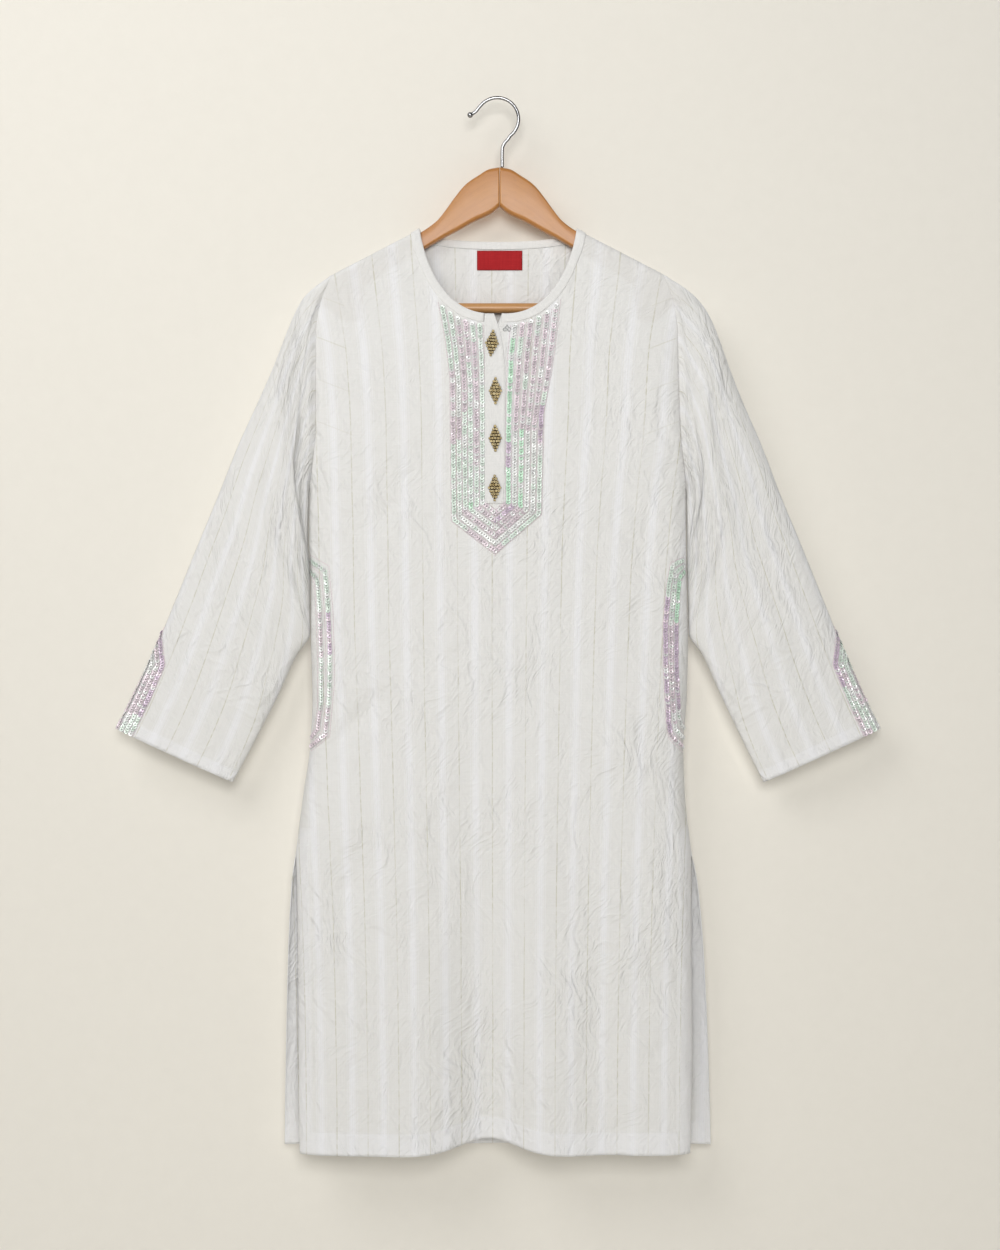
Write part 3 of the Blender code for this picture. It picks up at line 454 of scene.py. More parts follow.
class Panel:
    """The front or back of the body: its side edges, its depth from the side seams' plane, and
    which way it faces (-1 for the front)."""

    def __init__(self, facing, vent, depth, folds, vent_spread, creases, lean):
        self.facing = facing
        self.folds = folds
        self.creases = creases
        self.vent_spread = vent_spread
        self.seam = {-1: column(SIDE_SEAM, "left"), 1: column(SIDE_SEAM, "right")}
        self.vent = {-1: column(vent, "left"), 1: column(vent, "right")}
        self.edge_depth = column(depth, "edge")
        self.centre_depth = column(depth, "centre")
        self.lean = {-1: column(lean, "left"), 1: column(lean, "right")}

    def side(self, drop, side):
        """The side edge's x at a drop: the armhole and side seam, then the vent."""
        return np.where(drop <= VENT_TOP, self.seam[side](drop), self.vent[side](drop))

    def edge(self, drop):
        """Depth at the side edge: open at the armhole, closed at the side seam, open at the vent."""
        closing = np.clip((drop - (UNDERARM - UNDERARM_ROUND)) / UNDERARM_ROUND, 0, 1)
        armhole = self.edge_depth(drop) * np.sqrt(1 - closing**2)
        opening = np.clip((drop - VENT_TOP) / (HEM - VENT_TOP), 0, 1)
        return armhole + self.vent_spread * smooth_step(opening * VENT_FLARE) / smooth_step(VENT_FLARE)

    def fold_height(self, x, drop):
        """The sum of the folds, each a rounded ridge or trough across its own line."""
        total = np.zeros(np.broadcast(x, drop).shape)
        for fold in self.folds:
            along = np.clip((drop - fold.top) / (fold.foot - fold.top), 0, 1)
            middle = fold.top_x + (fold.foot_x - fold.top_x) * along
            width = fold.top_width + (fold.foot_width - fold.top_width) * along
            swell = along**FOLD_GROWTH if fold.to_hem else np.sin(math.pi * along)
            past = (fold.top - drop + np.maximum(drop - fold.foot, 0) * 2) / FOLD_END
            total += fold.height * swell * np.exp(-(((x - middle) / width) ** 2)) * (1 - smooth_step(past))
        return total

    def puckers(self, x, drop, left, right):
        """Small waves where a hem is sewn: across each vent's hem, and along the bottom hem. They
        are strongest at the stitching and die away inside it."""
        below_vent = smooth_step((drop - VENT_TOP + 20) / 40)
        waves = np.zeros(np.broadcast(x, drop).shape)
        for edge, shift in ((left, 0.0), (right, 41.0)):
            inward = np.abs(x - edge)
            wave = uneven_wave(drop + shift + 0.5 * inward, VENT_PUCKER_PITCH)
            waves += VENT_PUCKER * wave * np.exp(-((inward / (1.3 * VENT_HEM_WIDTH)) ** 2)) * below_vent
        above = HEM - BODY_HEM_WIDTH - drop
        waves += HEM_PUCKER * uneven_wave(x, 17.0) * np.exp(-((above / 12.0) ** 2))
        return waves

    def depth(self, x, drop):
        """Distance of the cloth's outer face from the side seams' plane."""
        left, right = self.side(drop, -1), self.side(drop, 1)
        inward = np.clip(1 - np.abs(2 * x - left - right) / (right - left), 0, 1)
        turned = np.sqrt(1 - (1 - inward) ** SIDE_POWER)
        edge = self.edge(drop)
        full = edge + (self.centre_depth(drop) - edge) * turned
        fade = smooth_step(inward * FOLD_SIDE_FADE)
        full = full + self.fold_height(x, drop) * fade
        clear_of_slit = 1 - self.near_slit(x, drop)
        clear_of_side = smooth_step(inward * 3 * FOLD_SIDE_FADE)
        full = full + crease_height(self.creases, x, drop) * clear_of_side * clear_of_slit
        full = full + self.puckers(x, drop, left, right)
        return full * shoulder_wrap(drop - ridge(x))

    def near_slit(self, x, drop):
        """1 over the flat placket and its sequins on the front, fading to 0 round them."""
        if self.facing > 0:
            return np.zeros(np.broadcast(x, drop).shape)
        return (1 - smooth_step((np.abs(x) - 50) / 30)) * (1 - smooth_step((drop - 480) / 60))

    def points(self, x, drop, lift=0.0):
        """Points on the outer face, moved out along its normal by lift."""
        step = 0.5
        y = self.facing * self.depth(x, drop)
        if np.any(lift):
            across = (self.depth(x + step, drop) - self.depth(x - step, drop)) / (2 * step)
            down = (self.depth(x, drop + step) - self.depth(x, drop - step)) / (2 * step)
            scale = lift / np.sqrt(1 + across**2 + down**2)
            x, drop = x - across * scale, drop - down * scale
            y = y + self.facing * scale
        return np.stack([x, y, -self.drawn_up(x, drop)], axis=-1)

    def drawn_up(self, x, drop):
        """The drop once the middle of the front hem has been lifted by its deep fold."""
        if self.facing > 0:
            return drop
        low = smooth_step((drop - HEM_LIFT_TOP) / (HEM - HEM_LIFT_TOP))
        return drop - HEM_LIFT * low * np.exp(-(((x - HEM_LIFT_X) / HEM_LIFT_WIDTH) ** 2))

    def cloth_place(self, x, drop):
        """Where a point lies on the cloth before it was sewn: across and down, in metres."""
        lean = np.where(x < 0, self.lean[-1](drop), self.lean[1](drop))
        return np.stack([(x * lean - STRIPE_START) * METRES, drop * METRES], axis=-1)


FRONT = Panel(
    -1, FRONT_VENT, FRONT_DEPTH, FRONT_FOLDS, FRONT_VENT_SPREAD,
    np.concatenate([np.array(FRONT_CREASES, float), scattered(FRONT_CRINKLES, 11)]), FRONT_LEAN,
)
BACK = Panel(
    1, BACK_VENT, BACK_DEPTH, BACK_FOLDS, BACK_VENT_SPREAD,
    np.concatenate([np.array(BACK_CREASES, float), scattered(BACK_CRINKLES, 12)]), BACK_LEAN,
)


def neck_place(degrees, neckline):
    """Half-width and drop of a neckline. It is a quarter ellipse from the neck point to the middle,
    its sides a little flatter and its lower corners a little fuller."""
    angle = np.radians(degrees)
    swell = 1 - neckline.fullness * np.sin(4 * angle)
    return NECK_HALF * np.cos(angle) * swell, NECK_TOP + neckline.depth * np.sin(angle) * swell


def neck_angle(half):
    """The angle, in degrees, at which the front neckline has this half-width."""
    degrees = np.linspace(90, 0, 361)
    return float(np.interp(half, neck_place(degrees, FRONT_NECKLINE)[0], degrees))


# ------------------------------------------------------------------ meshes
def grid_faces(rows, columns, flip=False, closed=False):
    """Quads between the rows and columns of a grid of points, closed round each row if asked."""
    here = np.arange(rows * columns).reshape(rows, columns)
    if closed:
        here = np.concatenate([here, here[:, :1]], axis=1)
    quads = np.stack([here[:-1, :-1], here[1:, :-1], here[1:, 1:], here[:-1, 1:]], axis=-1).reshape(-1, 4)
    return quads[:, ::-1] if flip else quads


def faced_out(points, faces):
    """The faces of a closed body, turned round where they enclose a negative volume."""
    corner = np.reshape(points, (-1, 3))[faces]
    volume = np.einsum("ij,ij->i", corner[:, 0], np.cross(corner[:, 1], corner[:, 2])).sum()
    volume += np.einsum("ij,ij->i", corner[:, 0], np.cross(corner[:, 2], corner[:, 3])).sum()
    return faces if volume > 0 else faces[:, ::-1]


def joined(parts):
    """Several (points, faces) as one."""
    points, faces, count = [], [], 0
    for part_points, part_faces in parts:
        points.append(np.reshape(part_points, (-1, 3)))
        faces.append(part_faces + count)
        count += len(points[-1])
    return np.concatenate(points), np.concatenate(faces)


def surface_mesh(name, points, faces, cloth_places=None, values=None, colours=None):
    """A smooth mesh in metres. Points that coincide become one, and a quad whose side has closed up
    becomes a triangle. The cloth places are kept for each corner of a face, so that the pattern can
    break at a seam."""
    points = np.reshape(points, (-1, 3))
    _, first, same = np.unique(np.round(points, 4), axis=0, return_index=True, return_inverse=True)
    same = same.reshape(-1)
    corners = same[faces]
    after = np.roll(corners, -1, axis=1)
    whole = (corners != after).all(axis=1)
    opposite = (corners[:, 0] == corners[:, 2]) | (corners[:, 1] == corners[:, 3])
    closed_up = ~whole & ~opposite & ((corners != after).sum(axis=1) == 3)
    sources = faces[whole].tolist()
    for quad, face in zip(faces[closed_up], corners[closed_up]):
        keep = [i for i in range(4) if face[i] != face[(i + 1) % 4]]
        sources.append([int(quad[i]) for i in keep])
    flat = np.array([corner for face in sources for corner in face])
    mesh = bpy.data.meshes.new(name)
    kept_faces = [[int(same[corner]) for corner in face] for face in sources]
    mesh.from_pydata((points[first] * METRES).tolist(), [], kept_faces)
    if cloth_places is not None:
        layer = mesh.uv_layers.new(name="cloth")
        layer.data.foreach_set("uv", np.reshape(cloth_places, (-1, 2))[flat].astype(np.float32).ravel())
    for title, array in (values or {}).items():
        attribute = mesh.attributes.new(title, "FLOAT", "POINT")
        attribute.data.foreach_set("value", np.reshape(array, -1)[first].astype(np.float32))
    if colours is not None:
        attribute = mesh.color_attributes.new("tint", "FLOAT_COLOR", "POINT")
        four = np.concatenate([colours, np.ones((len(colours), 1))], axis=1)
        attribute.data.foreach_set("color", four[first].astype(np.float32).ravel())
    mesh.shade_smooth()
    mesh.validate()
    return mesh


def piece(name, mesh, finish, slot_name, *stands_for, wall=0.0):
    """An object of the finished tunic that rides on its body. A wall thickens it inwards."""
    made = bpy.data.objects.new("fine_" + name if stands_for else name, mesh)
    mesh.materials.append(finish)
    bpy.context.scene.collection.objects.link(made)
    if wall:
        thick = made.modifiers.new("cloth thickness", "SOLIDIFY")
        thick.thickness = wall * METRES
        thick.offset = -1
        thick.use_quality_normals = True
    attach(made, BODY)
    if stands_for:
        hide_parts(*stands_for)
    return made


def across_frame(along, outward):
    """Unit vectors along, outward and across, at right angles to each other."""
    along = along / np.linalg.norm(along, axis=-1, keepdims=True)
    outward = outward - along * (outward * along).sum(axis=-1, keepdims=True)
    outward = outward / np.linalg.norm(outward, axis=-1, keepdims=True)
    return along, outward, np.cross(outward, along)


def placed(shape, faces, centre, along, outward, across):
    """Copies of a small shape, one at each centre: its x runs along, its y across, its z outward."""
    points = centre[:, None] + (
        shape[None, :, 0:1] * along[:, None]
        + shape[None, :, 1:2] * across[:, None]
        + shape[None, :, 2:3] * outward[:, None]
    )
    every = faces[None] + (np.arange(len(centre)) * len(shape))[:, None, None]
    return points.reshape(-1, 3), every.reshape(-1, 4)


def turned_shape(profile, sides, closed=False):
    """A small round shape: a profile of (radius, height) turned about z, its end joined to its start
    where it is closed."""
    angle = np.linspace(0, 2 * math.pi, sides, endpoint=False)
    radius, height = np.array(profile, float).T
    x, y = radius[:, None] * np.cos(angle), radius[:, None] * np.sin(angle)
    z = np.broadcast_to(height[:, None], x.shape)
    faces = grid_faces(len(profile), sides, closed=True)
    if closed:
        here = np.arange(sides)
        last, after = (len(profile) - 1) * sides, np.roll(here, -1)
        faces = np.concatenate([faces, np.stack([last + here, here, after, last + after], axis=1)])
    points = np.stack([x, y, z], axis=-1).reshape(-1, 3)
    return points, faced_out(points, faces)


def tube(path, radius, sides):
    """A round wire along a path that lies in an upright plane: a circle carried along it, its first
    axis the path's own normal and its second the y axis. A radius of 0 closes an end."""
    path = np.array(path, float)
    along = np.gradient(path, axis=0)
    along, outward, across = across_frame(along, np.broadcast_to([0.0, 1.0, 0.0], path.shape))
    angle = np.linspace(0, 2 * math.pi, sides, endpoint=False)[None, :, None]
    reach = np.broadcast_to(radius, (len(path),))[:, None, None]
    points = path[:, None] + reach * (np.cos(angle) * outward[:, None] + np.sin(angle) * across[:, None])
    return points, faced_out(points, grid_faces(len(path), sides, closed=True))


# ------------------------------------------------------------------ finishes: building blocks
def node(tree, kind, links=None, **settings):
    """A shader node with its settings, and its inputs given as values or joined to sockets."""
    made = tree.nodes.new(kind)
    for key, value in settings.items():
        setattr(made, key, value)
    for name, value in (links or {}).items():
        if isinstance(value, bpy.types.NodeSocket):
            tree.links.new(value, made.inputs[name])
        else:
            made.inputs[name].default_value = value
    return made


def calc(tree, operation, *values):
    return node(tree, "ShaderNodeMath", dict(enumerate(values)), operation=operation).outputs[0]


def tint(tree, share, first, second, blend_type="MIX"):
    """Two colours mixed by a share."""
    links = {0: share, 6: first, 7: second}
    return node(tree, "ShaderNodeMix", links, data_type="RGBA", blend_type=blend_type).outputs[2]


def ramp(tree, value, start, end, low=0.0, high=1.0):
    """A value read from low to high as it goes from start to end, easing in and out."""
    links = {"Value": value, "From Min": start, "From Max": end, "To Min": low, "To Max": high}
    return node(tree, "ShaderNodeMapRange", links, interpolation_type="SMOOTHSTEP").outputs["Result"]


def noise(tree, place, scale, detail=2.0, rough=0.5, stretch=None):
    """Smooth noise at a scale per metre, with the place stretched along its axes first."""
    if stretch is not None:
        place = node(tree, "ShaderNodeVectorMath", {0: place, 1: stretch}, operation="MULTIPLY").outputs[0]
    links = {"Vector": place, "Scale": scale, "Detail": detail, "Roughness": rough}
    return node(tree, "ShaderNodeTexNoise", links).outputs["Fac"]


def group(name, inputs, outputs):
    """An empty node group with named inputs (name, socket type, default) and outputs (name, type)."""
    tree = bpy.data.node_groups.new(name, "ShaderNodeTree")
    for title, kind, default in inputs:
        socket = tree.interface.new_socket(title, in_out="INPUT", socket_type=kind)
        if default is not None:
            socket.default_value = default
    for title, kind in outputs:
        tree.interface.new_socket(title, in_out="OUTPUT", socket_type=kind)
    entry = tree.nodes.new("NodeGroupInput")
    leave = tree.nodes.new("NodeGroupOutput")
    return tree, entry.outputs, leave.inputs


def put(tree, made, **values):
    """A node group placed in a material with its own values, its names' spaces written as _."""
    holder = tree.nodes.new("ShaderNodeGroup")
    holder.node_tree = made
    for name, value in values.items():
        title = name.replace("_", " ")
        if isinstance(value, bpy.types.NodeSocket):
            tree.links.new(value, holder.inputs[title])
        else:
            holder.inputs[title].default_value = value
    return holder.outputs


def finish(name, colour=(0.8, 0.8, 0.8), rough=0.5, **constants):
    """A new material: its tree and its Principled shader, with constants on the shader's own sockets."""
    made = bpy.data.materials.new(name)
    made.use_nodes = True
    tree = made.node_tree
    shader = tree.nodes["Principled BSDF"]
    shader.inputs["Base Color"].default_value = (*colour, 1)
    shader.inputs["Roughness"].default_value = rough
    for title, value in constants.items():
        shader.inputs[title.replace("_", " ")].default_value = value
    return made, tree, shader


def join(tree, shader, title, socket):
    tree.links.new(socket, shader.inputs[title])


def bumped(tree, shader, height, depth):
    """Relief of a given depth in millimetres, where the height goes from 0 to 1."""
    links = {"Height": height, "Distance": depth * METRES, "Strength": 1.0}
    join(tree, shader, "Normal", node(tree, "ShaderNodeBump", links).outputs["Normal"])


def attribute(tree, name):
    """A value that the mesh carries under this name."""
    return node(tree, "ShaderNodeAttribute", attribute_name=name)


def object_place(tree):
    """The place in the object's own space."""
    return node(tree, "ShaderNodeTexCoord").outputs["Object"]


def cloth_uv(tree):
    """The place on the flat cloth, in metres."""
    return node(tree, "ShaderNodeUVMap", uv_map="cloth").outputs["UV"]


VALUE, VECTOR = "NodeSocketFloat", "NodeSocketVector"


def weave_group():
    """Plain weave: crossed threads at a pitch, thicker slub threads both ways, and soft cloudiness
    where the threads lie closer."""
    tree, given, out = group(
        "plain weave",
        [("Cloth", VECTOR, None), ("Pitch", VALUE, 0.00045), ("Slubs", VALUE, 1.0)],
        [("Height", VALUE), ("Shade", VALUE)],
    )
    axes = node(tree, "ShaderNodeSeparateXYZ", {0: given["Cloth"]}).outputs
    turn = calc(tree, "DIVIDE", 2 * math.pi, given["Pitch"])
    warp = calc(tree, "SINE", calc(tree, "MULTIPLY", axes[0], turn))
    weft = calc(tree, "SINE", calc(tree, "MULTIPLY", axes[1], turn))
    over = calc(tree, "MULTIPLY_ADD", calc(tree, "MULTIPLY", warp, weft), 0.25, 0.5)
    down = ramp(tree, noise(tree, given["Cloth"], 1.0, 2.0, 0.5, (900.0, 26.0, 1.0)), 0.36, 0.72)
    across = ramp(tree, noise(tree, given["Cloth"], 1.0, 2.0, 0.5, (24.0, 800.0, 1.0)), 0.38, 0.74)
    half_slubs = calc(tree, "MULTIPLY", given["Slubs"], 0.5)
    slubs = calc(tree, "MULTIPLY", calc(tree, "ADD", down, across), half_slubs)
    cloud = noise(tree, given["Cloth"], 42.0, 3.0, 0.6)
    tree.links.new(calc(tree, "MULTIPLY_ADD", over, 0.3, calc(tree, "MULTIPLY", slubs, 0.7)), out["Height"])
    shade = calc(tree, "MULTIPLY_ADD", slubs, 0.55, calc(tree, "MULTIPLY", cloud, 0.45))
    tree.links.new(shade, out["Shade"])
    return tree


def stripe_group():
    """Woven stripes that repeat across the cloth: one thin beige line, broken into dashes, and
    halfway between a soft white satin band with brighter threads beside it."""
    tree, given, out = group(
        "woven stripes",
        [("Cloth", VECTOR, None), ("Repeat", VALUE, STRIPE_REPEAT * METRES)],
        [("Beige", VALUE), ("Satin", VALUE), ("Threads", VALUE)],
    )
    axes = node(tree, "ShaderNodeSeparateXYZ", {0: given["Cloth"]}).outputs
    waver = noise(tree, given["Cloth"], 1.0, 2.0, 0.5, (5.0, 16.0, 1.0))
    waver = calc(tree, "MULTIPLY_ADD", waver, 0.0012, -0.0006)
    across = calc(tree, "DIVIDE", calc(tree, "ADD", axes[0], waver), given["Repeat"])
    share = calc(tree, "FRACT", calc(tree, "ADD", across, 0.5))
    from_beige = calc(tree, "ABSOLUTE", calc(tree, "SUBTRACT", share, 0.5))
    line = ramp(tree, from_beige, 0.010, 0.020, 1.0, 0.0)
    dashes = ramp(tree, noise(tree, given["Cloth"], 1.0, 1.0, 0.5, (60.0, 150.0, 1.0)), 0.40, 0.56)
    strength = ramp(tree, noise(tree, given["Cloth"], 1.0, 2.0, 0.5, (45.0, 9.0, 1.0)), 0.32, 0.62, 0.35, 1.0)
    beige = calc(tree, "MULTIPLY", line, calc(tree, "MULTIPLY_ADD", dashes, 0.6, 0.4))
    tree.links.new(calc(tree, "MULTIPLY", beige, strength), out["Beige"])
    from_satin = calc(tree, "SUBTRACT", 0.5, from_beige)
    band = ramp(tree, from_satin, 0.085, 0.135, 1.0, 0.0)
    uneven = ramp(tree, noise(tree, given["Cloth"], 1.0, 2.0, 0.5, (30.0, 12.0, 1.0)), 0.3, 0.65, 0.55, 1.0)
    tree.links.new(calc(tree, "MULTIPLY", band, uneven), out["Satin"])
    near = calc(tree, "ABSOLUTE", calc(tree, "SUBTRACT", from_satin, 0.155))
    side_line = ramp(tree, near, 0.008, 0.022, 1.0, 0.0)
    inner = calc(tree, "ABSOLUTE", calc(tree, "SUBTRACT", from_satin, 0.03))
    inner_line = ramp(tree, inner, 0.006, 0.016, 1.0, 0.0)
    threads = calc(tree, "MULTIPLY_ADD", inner_line, 0.7, calc(tree, "MULTIPLY", side_line, 0.45))
    tree.links.new(threads, out["Threads"])
    return tree


def crumple_group():
    """Crumpled cotton, as a height in millimetres: sharp-crested creases of three sizes that run
    mostly downwards and slantwise, softer dents between them, and a slow change of strength."""
    tree, given, out = group(
        "crumpled cotton", [("Cloth", VECTOR, None), ("Strength", VALUE, 1.0)], [("Height", VALUE)]
    )
    bend = noise(tree, given["Cloth"], 9.0, 2.0, 0.5)
    aside = calc(tree, "MULTIPLY", bend, 0.10)
    shift = node(tree, "ShaderNodeCombineXYZ", {0: aside, 1: 0.0, 2: 0.0}).outputs[0]
    place = node(tree, "ShaderNodeVectorMath", {0: given["Cloth"], 1: shift}, operation="ADD").outputs[0]
    large = creased_noise(tree, place, 0.12, (19.0, 7.0, 1.0))
    middle = creased_noise(tree, place, -0.20, (52.0, 20.0, 1.0))
    small = creased_noise(tree, place, 0.40, (140.0, 64.0, 1.0))
    dents = noise(tree, place, 1.0, 2.0, 0.5, (60.0, 48.0, 1.0))
    patches = ramp(tree, noise(tree, given["Cloth"], 6.0, 1.0), 0.30, 0.68, 0.45, 1.15)
    height = calc(tree, "MULTIPLY", large, 0.80)
    height = calc(tree, "MULTIPLY_ADD", middle, 0.85, height)
    height = calc(tree, "MULTIPLY_ADD", small, 0.42, height)
    height = calc(tree, "MULTIPLY_ADD", dents, 0.60, height)
    height = calc(tree, "MULTIPLY", height, calc(tree, "MULTIPLY", patches, given["Strength"]))
    tree.links.new(height, out["Height"])
    return tree


def creased_noise(tree, place, slant, stretch):
    """Noise folded about its middle, so that it has crests, on a place sheared by a slant."""
    axes = node(tree, "ShaderNodeSeparateXYZ", {0: place}).outputs
    sheared = calc(tree, "MULTIPLY_ADD", axes[1], slant, axes[0])
    turned = node(tree, "ShaderNodeCombineXYZ", {0: sheared, 1: axes[1], 2: 0.0}).outputs[0]
    away = calc(tree, "ABSOLUTE", calc(tree, "SUBTRACT", noise(tree, turned, 1.0, 1.5, 0.45, stretch), 0.5))
    return ramp(tree, away, 0.0, 0.16, 1.0, 0.0)


def speckle_group():
    """Uneven wear: broad cloudiness with small specks, from an object's own place."""
    tree, given, out = group(
        "wear", [("Place", VECTOR, None), ("Scale", VALUE, 300.0)], [("Worn", VALUE), ("Specks", VALUE)]
    )
    clouds = noise(tree, given["Place"], given["Scale"], 4.0, 0.6)
    tree.links.new(ramp(tree, clouds, 0.35, 0.65), out["Worn"])
    fine = noise(tree, given["Place"], calc(tree, "MULTIPLY", given["Scale"], 7.0), 2.0, 0.6)
    tree.links.new(ramp(tree, fine, 0.58, 0.70), out["Specks"])
    return tree


# ------------------------------------------------------------------ finishes
COTTON = (0.742, 0.738, 0.724, 1)
COTTON_CLEAR = (0.688, 0.684, 0.668, 1)
SATIN_WHITE = (0.800, 0.806, 0.842, 1)
BEIGE = (0.47, 0.45, 0.33, 1)


def cotton(name, weave, crumple, crumpled=1.0, stripes=None, base=COTTON):
    """Fine cotton: weave and slubs, crumpled, with woven stripes where asked, a step where it is
    doubled, painted shade that makes it greyer where the hanger lies close behind it, and a facing's own
    crosswise stripes showing through."""
    made, tree, shader = finish(name, rough=0.88, Sheen_Weight=0.12, Sheen_Roughness=0.5)
    shader.inputs["Specular IOR Level"].default_value = 0.25
    place = cloth_uv(tree)
    threads = put(tree, weave, Cloth=place, Pitch=0.00055, Slubs=1.0)
    colour = tint(tree, threads["Shade"], COTTON_CLEAR, base)
    height = calc(tree, "MULTIPLY", threads["Height"], 0.20)
    folds = put(tree, crumple, Cloth=place, Strength=crumpled)
    height = calc(tree, "ADD", height, folds["Height"])
    if stripes is not None:
        woven = put(tree, stripes, Cloth=place)
        doubled = attribute(tree, "doubled").outputs["Fac"]
        colour = tint(tree, calc(tree, "MULTIPLY", doubled, 0.34), colour, SATIN_WHITE)
        colour = tint(tree, calc(tree, "MULTIPLY", woven["Satin"], 0.42), colour, SATIN_WHITE)
        colour = tint(tree, calc(tree, "MULTIPLY", woven["Threads"], 0.50), colour, SATIN_WHITE)
        colour = tint(tree, calc(tree, "MULTIPLY", woven["Beige"], 0.58), colour, BEIGE)
        # Painted shade: the cloth is tinted greyer where the hanger's arm lies behind it.
        behind = calc(tree, "MULTIPLY", attribute(tree, "painted_arm_shade").outputs["Fac"], 0.11)
        colour = tint(tree, behind, colour, (0.42, 0.37, 0.32, 1))
        facing = put(tree, stripes, Cloth=facing_place(tree))
        through = calc(tree, "MULTIPLY", attribute(tree, "facing_behind").outputs["Fac"], facing["Beige"])
        colour = tint(tree, calc(tree, "MULTIPLY", through, 0.42), colour, BEIGE)
        height = calc(tree, "MULTIPLY_ADD", woven["Satin"], 0.05, height)
        height = calc(tree, "MULTIPLY_ADD", woven["Beige"], 0.08, height)
        height = calc(tree, "MULTIPLY_ADD", doubled, 0.80, height)
        join(tree, shader, "Roughness", calc(tree, "MULTIPLY_ADD", woven["Satin"], -0.25, 0.90))
    join(tree, shader, "Base Color", colour)
    bumped(tree, shader, height, 1.0)
    return made


def facing_place(tree):
    """The facing's cloth lies crosswise, so its stripes read the place along the armhole."""
    along = attribute(tree, "facing_place").outputs["Fac"]
    return node(tree, "ShaderNodeCombineXYZ", {0: along, 1: 0.31, 2: 0.0}).outputs[0]


def woven_red(weave):
    """The label's red satin: fine ribs, and a darker band along its edges."""
    made, tree, shader = finish("woven red label", rough=0.75, Sheen_Weight=0.04, Sheen_Roughness=0.4)
    shader.inputs["Specular IOR Level"].default_value = 0.15
    place = cloth_uv(tree)
    threads = put(tree, weave, Cloth=place, Pitch=0.0007, Slubs=1.0)
    axes = node(tree, "ShaderNodeSeparateXYZ", {0: place}).outputs
    ribs = calc(tree, "SINE", calc(tree, "MULTIPLY", axes[1], 2 * math.pi / 0.0009))
    colour = tint(tree, threads["Shade"], (0.31, 0.011, 0.015, 1), (0.45, 0.021, 0.025, 1))
    edge = attribute(tree, "edge").outputs["Fac"]
    colour = tint(tree, calc(tree, "MULTIPLY", edge, 0.5), colour, (0.20, 0.008, 0.012, 1))
    join(tree, shader, "Base Color", colour)
    height = calc(tree, "MULTIPLY_ADD", ribs, 0.3, threads["Height"])
    bumped(tree, shader, height, 0.12)
    return made


def sewing_thread(name, colour):
    """Spun thread: a fine twist across it."""
    made, tree, shader = finish(name, colour, 0.7, Sheen_Weight=0.1)
    twist = noise(tree, object_place(tree), 2600.0, 1.0)
    dark = tuple(0.72 * part for part in colour)
    join(tree, shader, "Base Color", tint(tree, twist, (*dark, 1), (*colour, 1)))
    bumped(tree, shader, twist, 0.08)
    return made


def sequin_film():
    """Thin iridescent film: each sequin's own tint, a painted pale sheen where it turns to the side, and a
    hammered centre."""
    made, tree, shader = finish("iridescent sequin", rough=0.26, Metallic=0.08, Coat_Roughness=0.12)
    shader.inputs["Specular IOR Level"].default_value = 0.8
    shader.inputs["Coat Weight"].default_value = 0.6
    own = attribute(tree, "tint").outputs["Color"]
    # Painted sheen: the tint pales towards white where the sequin turns away to the side.
    facing = node(tree, "ShaderNodeLayerWeight", {"Blend": 0.35}).outputs["Facing"]
    painted_sheen = calc(tree, "MULTIPLY", ramp(tree, facing, 0.15, 0.75), 0.35)
    colour = tint(tree, painted_sheen, own, (0.86, 0.92, 0.94, 1))
    wear = noise(tree, object_place(tree), 900.0, 2.0)
    rubbed = calc(tree, "MULTIPLY", ramp(tree, wear, 0.5, 0.75), 0.25)
    colour = tint(tree, rubbed, colour, (0.95, 0.95, 0.96, 1))
    join(tree, shader, "Base Color", colour)
    bumped(tree, shader, wear, 0.10)
    return made


def antique_gold(wear):
    """Aged cast metal: bright on the crowns, with painted shade in the hollows, under the beads and
    over the plate, and a random dullness per bead (the recess), with dull patches.
    """
    made, tree, shader = finish("antique gold beads", rough=0.38, Metallic=0.5)
    worn = put(tree, wear, Place=object_place(tree), Scale=420.0)
    gold = tint(tree, worn["Worn"], (0.50, 0.37, 0.15, 1), (0.82, 0.70, 0.43, 1))
    # Painted shade: the gold darkens to near black in the hollows, under the beads and over the plate; each
    # bead's random dullness adds to it.
    recess = attribute(tree, "recess").outputs["Fac"]
    colour = tint(tree, recess, gold, (0.050, 0.030, 0.010, 1))
    colour = tint(tree, calc(tree, "MULTIPLY", worn["Specks"], 0.4), colour, (0.10, 0.07, 0.03, 1))
    join(tree, shader, "Base Color", colour)
    rough = calc(tree, "MULTIPLY_ADD", worn["Worn"], 0.15, 0.28)
    join(tree, shader, "Roughness", calc(tree, "MULTIPLY_ADD", recess, 0.35, rough))
    bumped(tree, shader, worn["Worn"], 0.06)
    return made


def wire_metal(name, colour, rough, wear, painted_edge_dark=0.12):
    """Drawn wire with faint marks, and a painted dark reflection where it turns away to its edges."""
    made, tree, shader = finish(name, colour, rough, Metallic=1.0)
    worn = put(tree, wear, Place=object_place(tree), Scale=260.0)
    dull = tuple(0.72 * part for part in colour)
    body = tint(tree, calc(tree, "MULTIPLY", worn["Worn"], 0.4), (*colour, 1), (*dull, 1))
    # Painted reflection: the base colour darkens towards the edges as the wire turns away.
    turned = node(tree, "ShaderNodeLayerWeight", {"Blend": 0.5}).outputs["Facing"]
    dark = tuple(painted_edge_dark * part for part in colour)
    join(tree, shader, "Base Color", tint(tree, ramp(tree, turned, 0.10, 0.62), body, (*dark, 1)))
    join(tree, shader, "Roughness", calc(tree, "MULTIPLY_ADD", worn["Specks"], 0.2, rough))
    bumped(tree, shader, worn["Worn"], 0.01)
    return made


